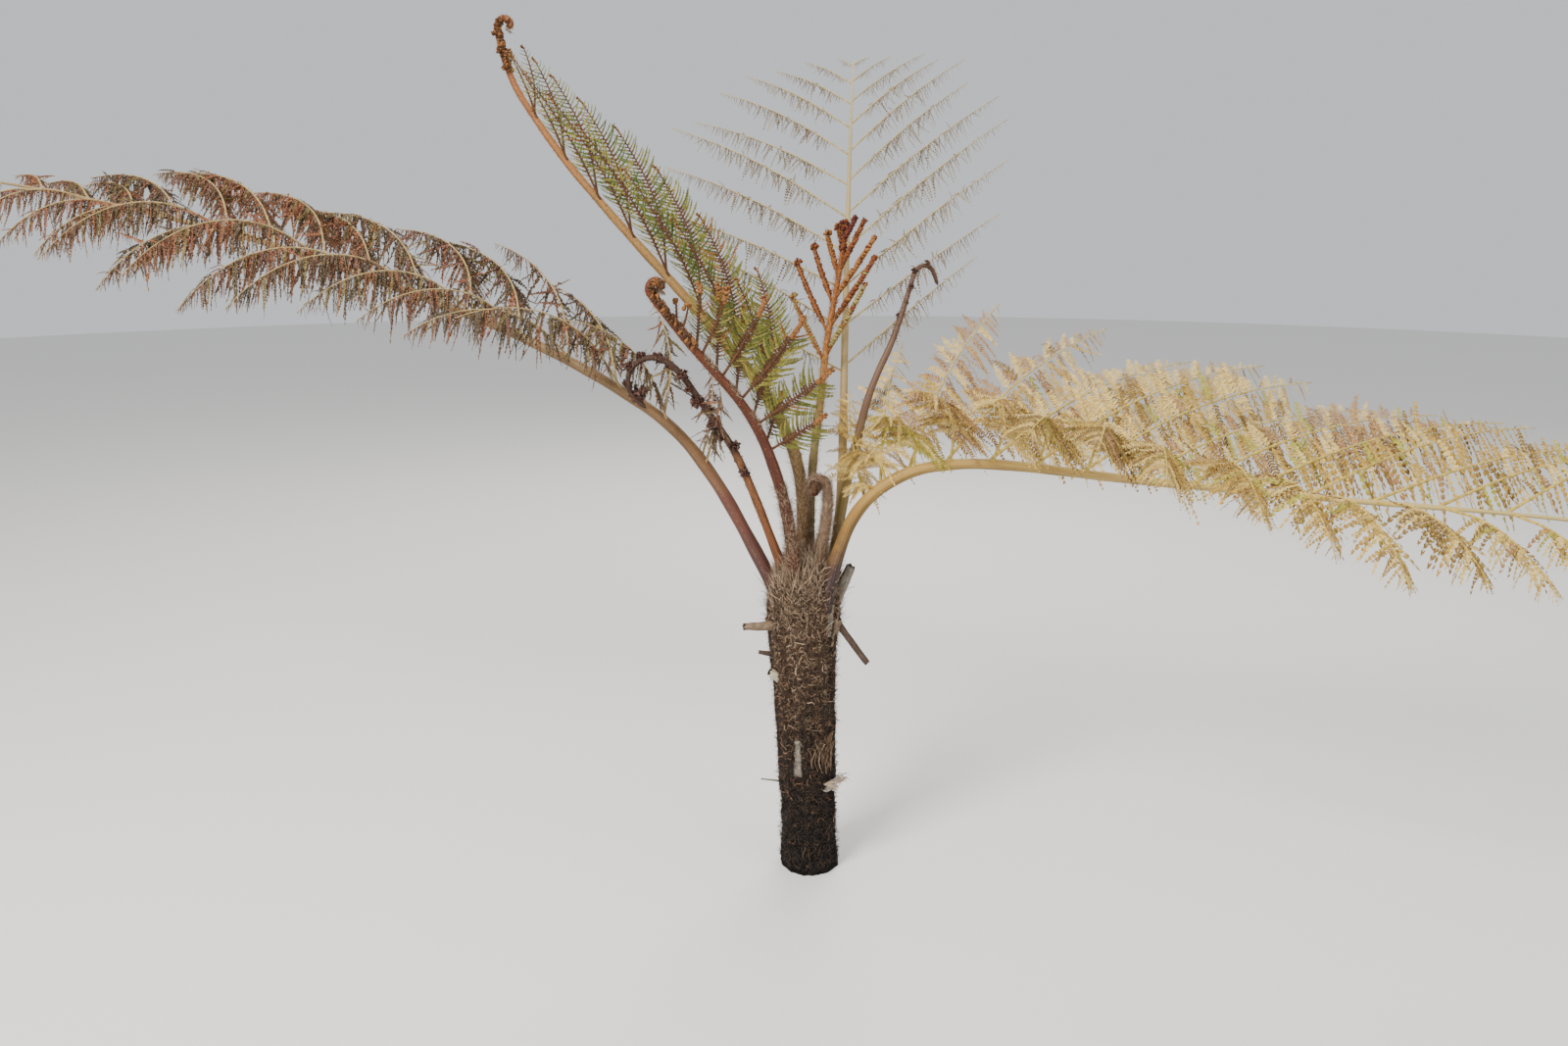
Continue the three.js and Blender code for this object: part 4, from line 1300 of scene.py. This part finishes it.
# %% Clumps
CLUMP_TINTS = palette("shrivelled_clump", dict(
    dark=(0.04, 0.018, 0.013), brown=(0.085, 0.038, 0.024), mauve=(0.12, 0.06, 0.045),
))
KNOTS_GROW = (260, 420)


def clumps(name, slot, *nodes, spread=1.35, bits=60):
    """Knots of rolled leaf round a dead stem: fists with curled scraps between them."""
    frond = FRONDS[name]
    start, end, count, radius, seed = frond["knobs"]
    draw = np.random.default_rng(seed)
    heap = Heap()
    for i in np.arange(0, count - 0.9, 0.5):
        s = start + (end - start) * i / (count - 1)
        tangent, left, above = [rows[0] for rows in frame_at(frond, s)]
        turn = math.pi * scatter(seed + i)
        size = radius * (0.85 + 0.25 * scatter(seed + i + 50)) * (1 if i == int(i) else 0.75)
        size = size * np.interp(s, KNOTS_GROW, (0.4, 1))
        middle = place_at(frond, s) + 0.7 * size * (left * math.cos(turn) + above * math.sin(turn))
        place = draw.normal(size=(bits, 3))
        place = unit(place) * (size * draw.random(bits) ** 0.6)[:, None] * spread
        along = unit(unit(draw.normal(size=(bits, 3))) + 1.5 * unit(place))
        tints = any_of(draw, [0, 1, 2, 0, 1], bits)
        up = unit(draw.normal(size=(bits, 3)))
        fists(heap, draw, middle + place * 0.8, along, up, size * draw.uniform(0.4, 0.75, bits), tints)
        scraps = bits // 3
        long = np.repeat(size * draw.uniform(0.9, 1.7, scraps)[:, None], 3, 1)
        rolled = dealt(SHRIVELLED[1], middle + place[:scraps] * 0.6, along[:scraps], up[:scraps], long)
        heap.add(SHRIVELLED[1], rolled, np.repeat(tints[:scraps, None], 2, 1))
    heap.make(name + "_clumps", CLUMP_TINTS, slot, *nodes)


clumps("dead_crozier", "withered_brown_leaf", "dead_crozier_hook")
clumps("dying_stem", "withered_brown_leaf", spread=1.1, bits=24)

# %% [markdown]
# ## Broken leaf bases
# Where old fronds fell, stubs stay on the trunk: some pale and cut across, some dark and split. Each
# is a pipe whose line turns back into itself at the end, which leaves a hollow mouth. A bundle of
# brown roots loops over the front, and a torn base beside it has frayed into pale shreds.

# %% Stubs
STUBS = [
    (196, 562, 60, 8.5, 4, "tan"), (190, 494, 30, 5, 12, "brown"), (199, 440, 22, 10, 38, "white"),
    (251, 232, 70, 12, 85, "grey"), (352, 592, 96, 11, 68, "grey"), (338, 528, 44, 12, 70, "tan"),
    (344, 590, 118, 7, -52, "brown"), (322, 548, 60, 10, 80, "grey"), (262, 500, 40, 9, 84, "olive"),
    (292, 508, 42, 7, 82, "pale"), (72, 486, 38, 12, 62, "brown"), (118, 404, 28, 12, 64, "grey"),
    (158, 520, 40, 11, 62, "tan"), (186, 196, 42, 2, 10, "grey"),
]
STUB_COLOURS = dict(
    tan=(0.2, 0.14, 0.09), brown=(0.07, 0.045, 0.032), white=(0.56, 0.49, 0.37), grey=(0.21, 0.18, 0.145),
    olive=(0.19, 0.15, 0.07), pale=(0.33, 0.24, 0.18),
)
STUB_TINTS = palette("stub", {**STUB_COLOURS, "hollow": (0.03, 0.018, 0.013)})
STUB_REACH = np.array([0, 0.2, 0.4, 0.6, 0.8, 0.97, 1.0, 1.0, 0.9, 0.75])
STUB_WIDTHS = np.array([1.25, 1.12, 1.05, 1.0, 0.93, 0.88, 0.82, 0.66, 0.55, 0.4])
SUNK = 14


def stubs():
    """Each row above has an azimuth, a height, a length, a radius, a rise and a colour."""
    draw = np.random.default_rng(80)
    heap = Heap()
    shape = pipe(20, 9)
    across, run, above = shape.corners.T
    fluted = 1 + 0.13 * np.cos(6 * np.arctan2(above, across) + 9 * run)
    shape.corners *= np.stack([fluted, fluted * 0 + 1, fluted], -1)
    faces = np.split(shape.loops, np.cumsum(shape.sizes)[:-1])
    shape.tints = np.array([int(shape.corners[face, 1].mean() > 0.7) for face in faces])
    for azimuth, z, length, radius, rise, colour in STUBS:
        slope = math.radians(rise)
        out = outward(math.radians(azimuth))
        axis = out * math.cos(slope) + UP * math.sin(slope)
        left = np.cross(UP, out)
        above = np.cross(axis, left)
        start = np.array([trunk_middle(z), 0, z]) + out * (profile(z) - SUNK)
        reach = STUB_REACH * (length + SUNK)
        radii = radius * STUB_WIDTHS
        line = start + axis * reach[:, None] + draw.normal(size=(10, 3)) * (0.05 * radius)
        corners = swept(shape, line, np.repeat(left[None], 10, 0), np.repeat(above[None], 10, 0), radii)
        ragged = draw.normal(size=corners.shape[1]) * np.where(shape.corners[:, 1] > 0.6, 1.6, 0.5)
        corners = corners + ragged[:, None] * axis
        heap.add(shape, corners, [[list(STUB_COLOURS).index(colour), len(STUB_COLOURS)]])
    heap.make("trunk_stubs", STUB_TINTS, "trunk_fibre")


stubs()


# %% Roots and shreds
ROOTS = 70
LOOPED_ROOTS = 46


def roots():
    """Thin roots, most of them in a looped bundle at the front."""
    draw = np.random.default_rng(90)
    heap = Heap()
    shape = pipe(5, 14)
    share = np.linspace(0, 1, 15)
    for i in range(ROOTS):
        loop = i < LOOPED_ROOTS
        turn = draw.uniform(282, 322) if loop else draw.uniform(0, 360)
        low = draw.uniform(236, 262) if loop else draw.uniform(70, 420)
        tall = draw.uniform(50, 84) if loop else draw.uniform(-40, 40)
        z = low + tall * np.sin(math.pi * share * (0.9 if loop else 0.5))
        angle = np.radians(turn + draw.uniform(-18, 18) * share + 5 * np.sin(11 * share + i))
        out = outward(angle)
        stands = 3 + (1 + 6 * np.sin(math.pi * share)) * draw.uniform(0.4, 1.2)
        line = out * (trunk_radius(angle, z) + stands)[:, None]
        line[:, 0] += trunk_middle(z)
        line[:, 2] = z
        radii = draw.uniform(0.4, 0.9) * (1 - 0.5 * share)
        colour = int(draw.choice([BROWN, TAN, UMBER, UMBER, RUSSET, FUR]))
        heap.add(shape, swept(shape, line, np.cross(UP, out), out, radii), [[colour]])
    heap.make("trunk_roots", FIBRES, "trunk_fibre")


def shreds():
    """Pale scraps that fray out from one torn leaf base."""
    draw = np.random.default_rng(95)
    heap = Heap()
    count = 70
    origin, out, z = trunk_points(draw, count, 196, 214)
    angle = np.radians(draw.uniform(302, 350, count))
    out = outward(angle)
    origin[:, :2] = out[:, :2] * trunk_radius(angle, z)[:, None]
    origin[:, 0] += trunk_middle(z)
    along = out * 0.5 + (1.0, 0, 0.12)
    length = draw.uniform(12, 40, count)
    colours = any_of(draw, [PALE, PALE, TAN, GREY], count)
    flat = np.cross(along, UP)
    strew(heap, draw, origin, along, flat, length, length * 0.09, colours, stray=0.2, bend=0.15)
    heap.make("trunk_shreds", FIBRES, "trunk_fibre")


roots()
shreds()

# %% [markdown]
# ## The end
# The triangles of all the pieces are added up and printed.

# %% Sizes
print("triangles in all:", sum(made_triangles.values()))
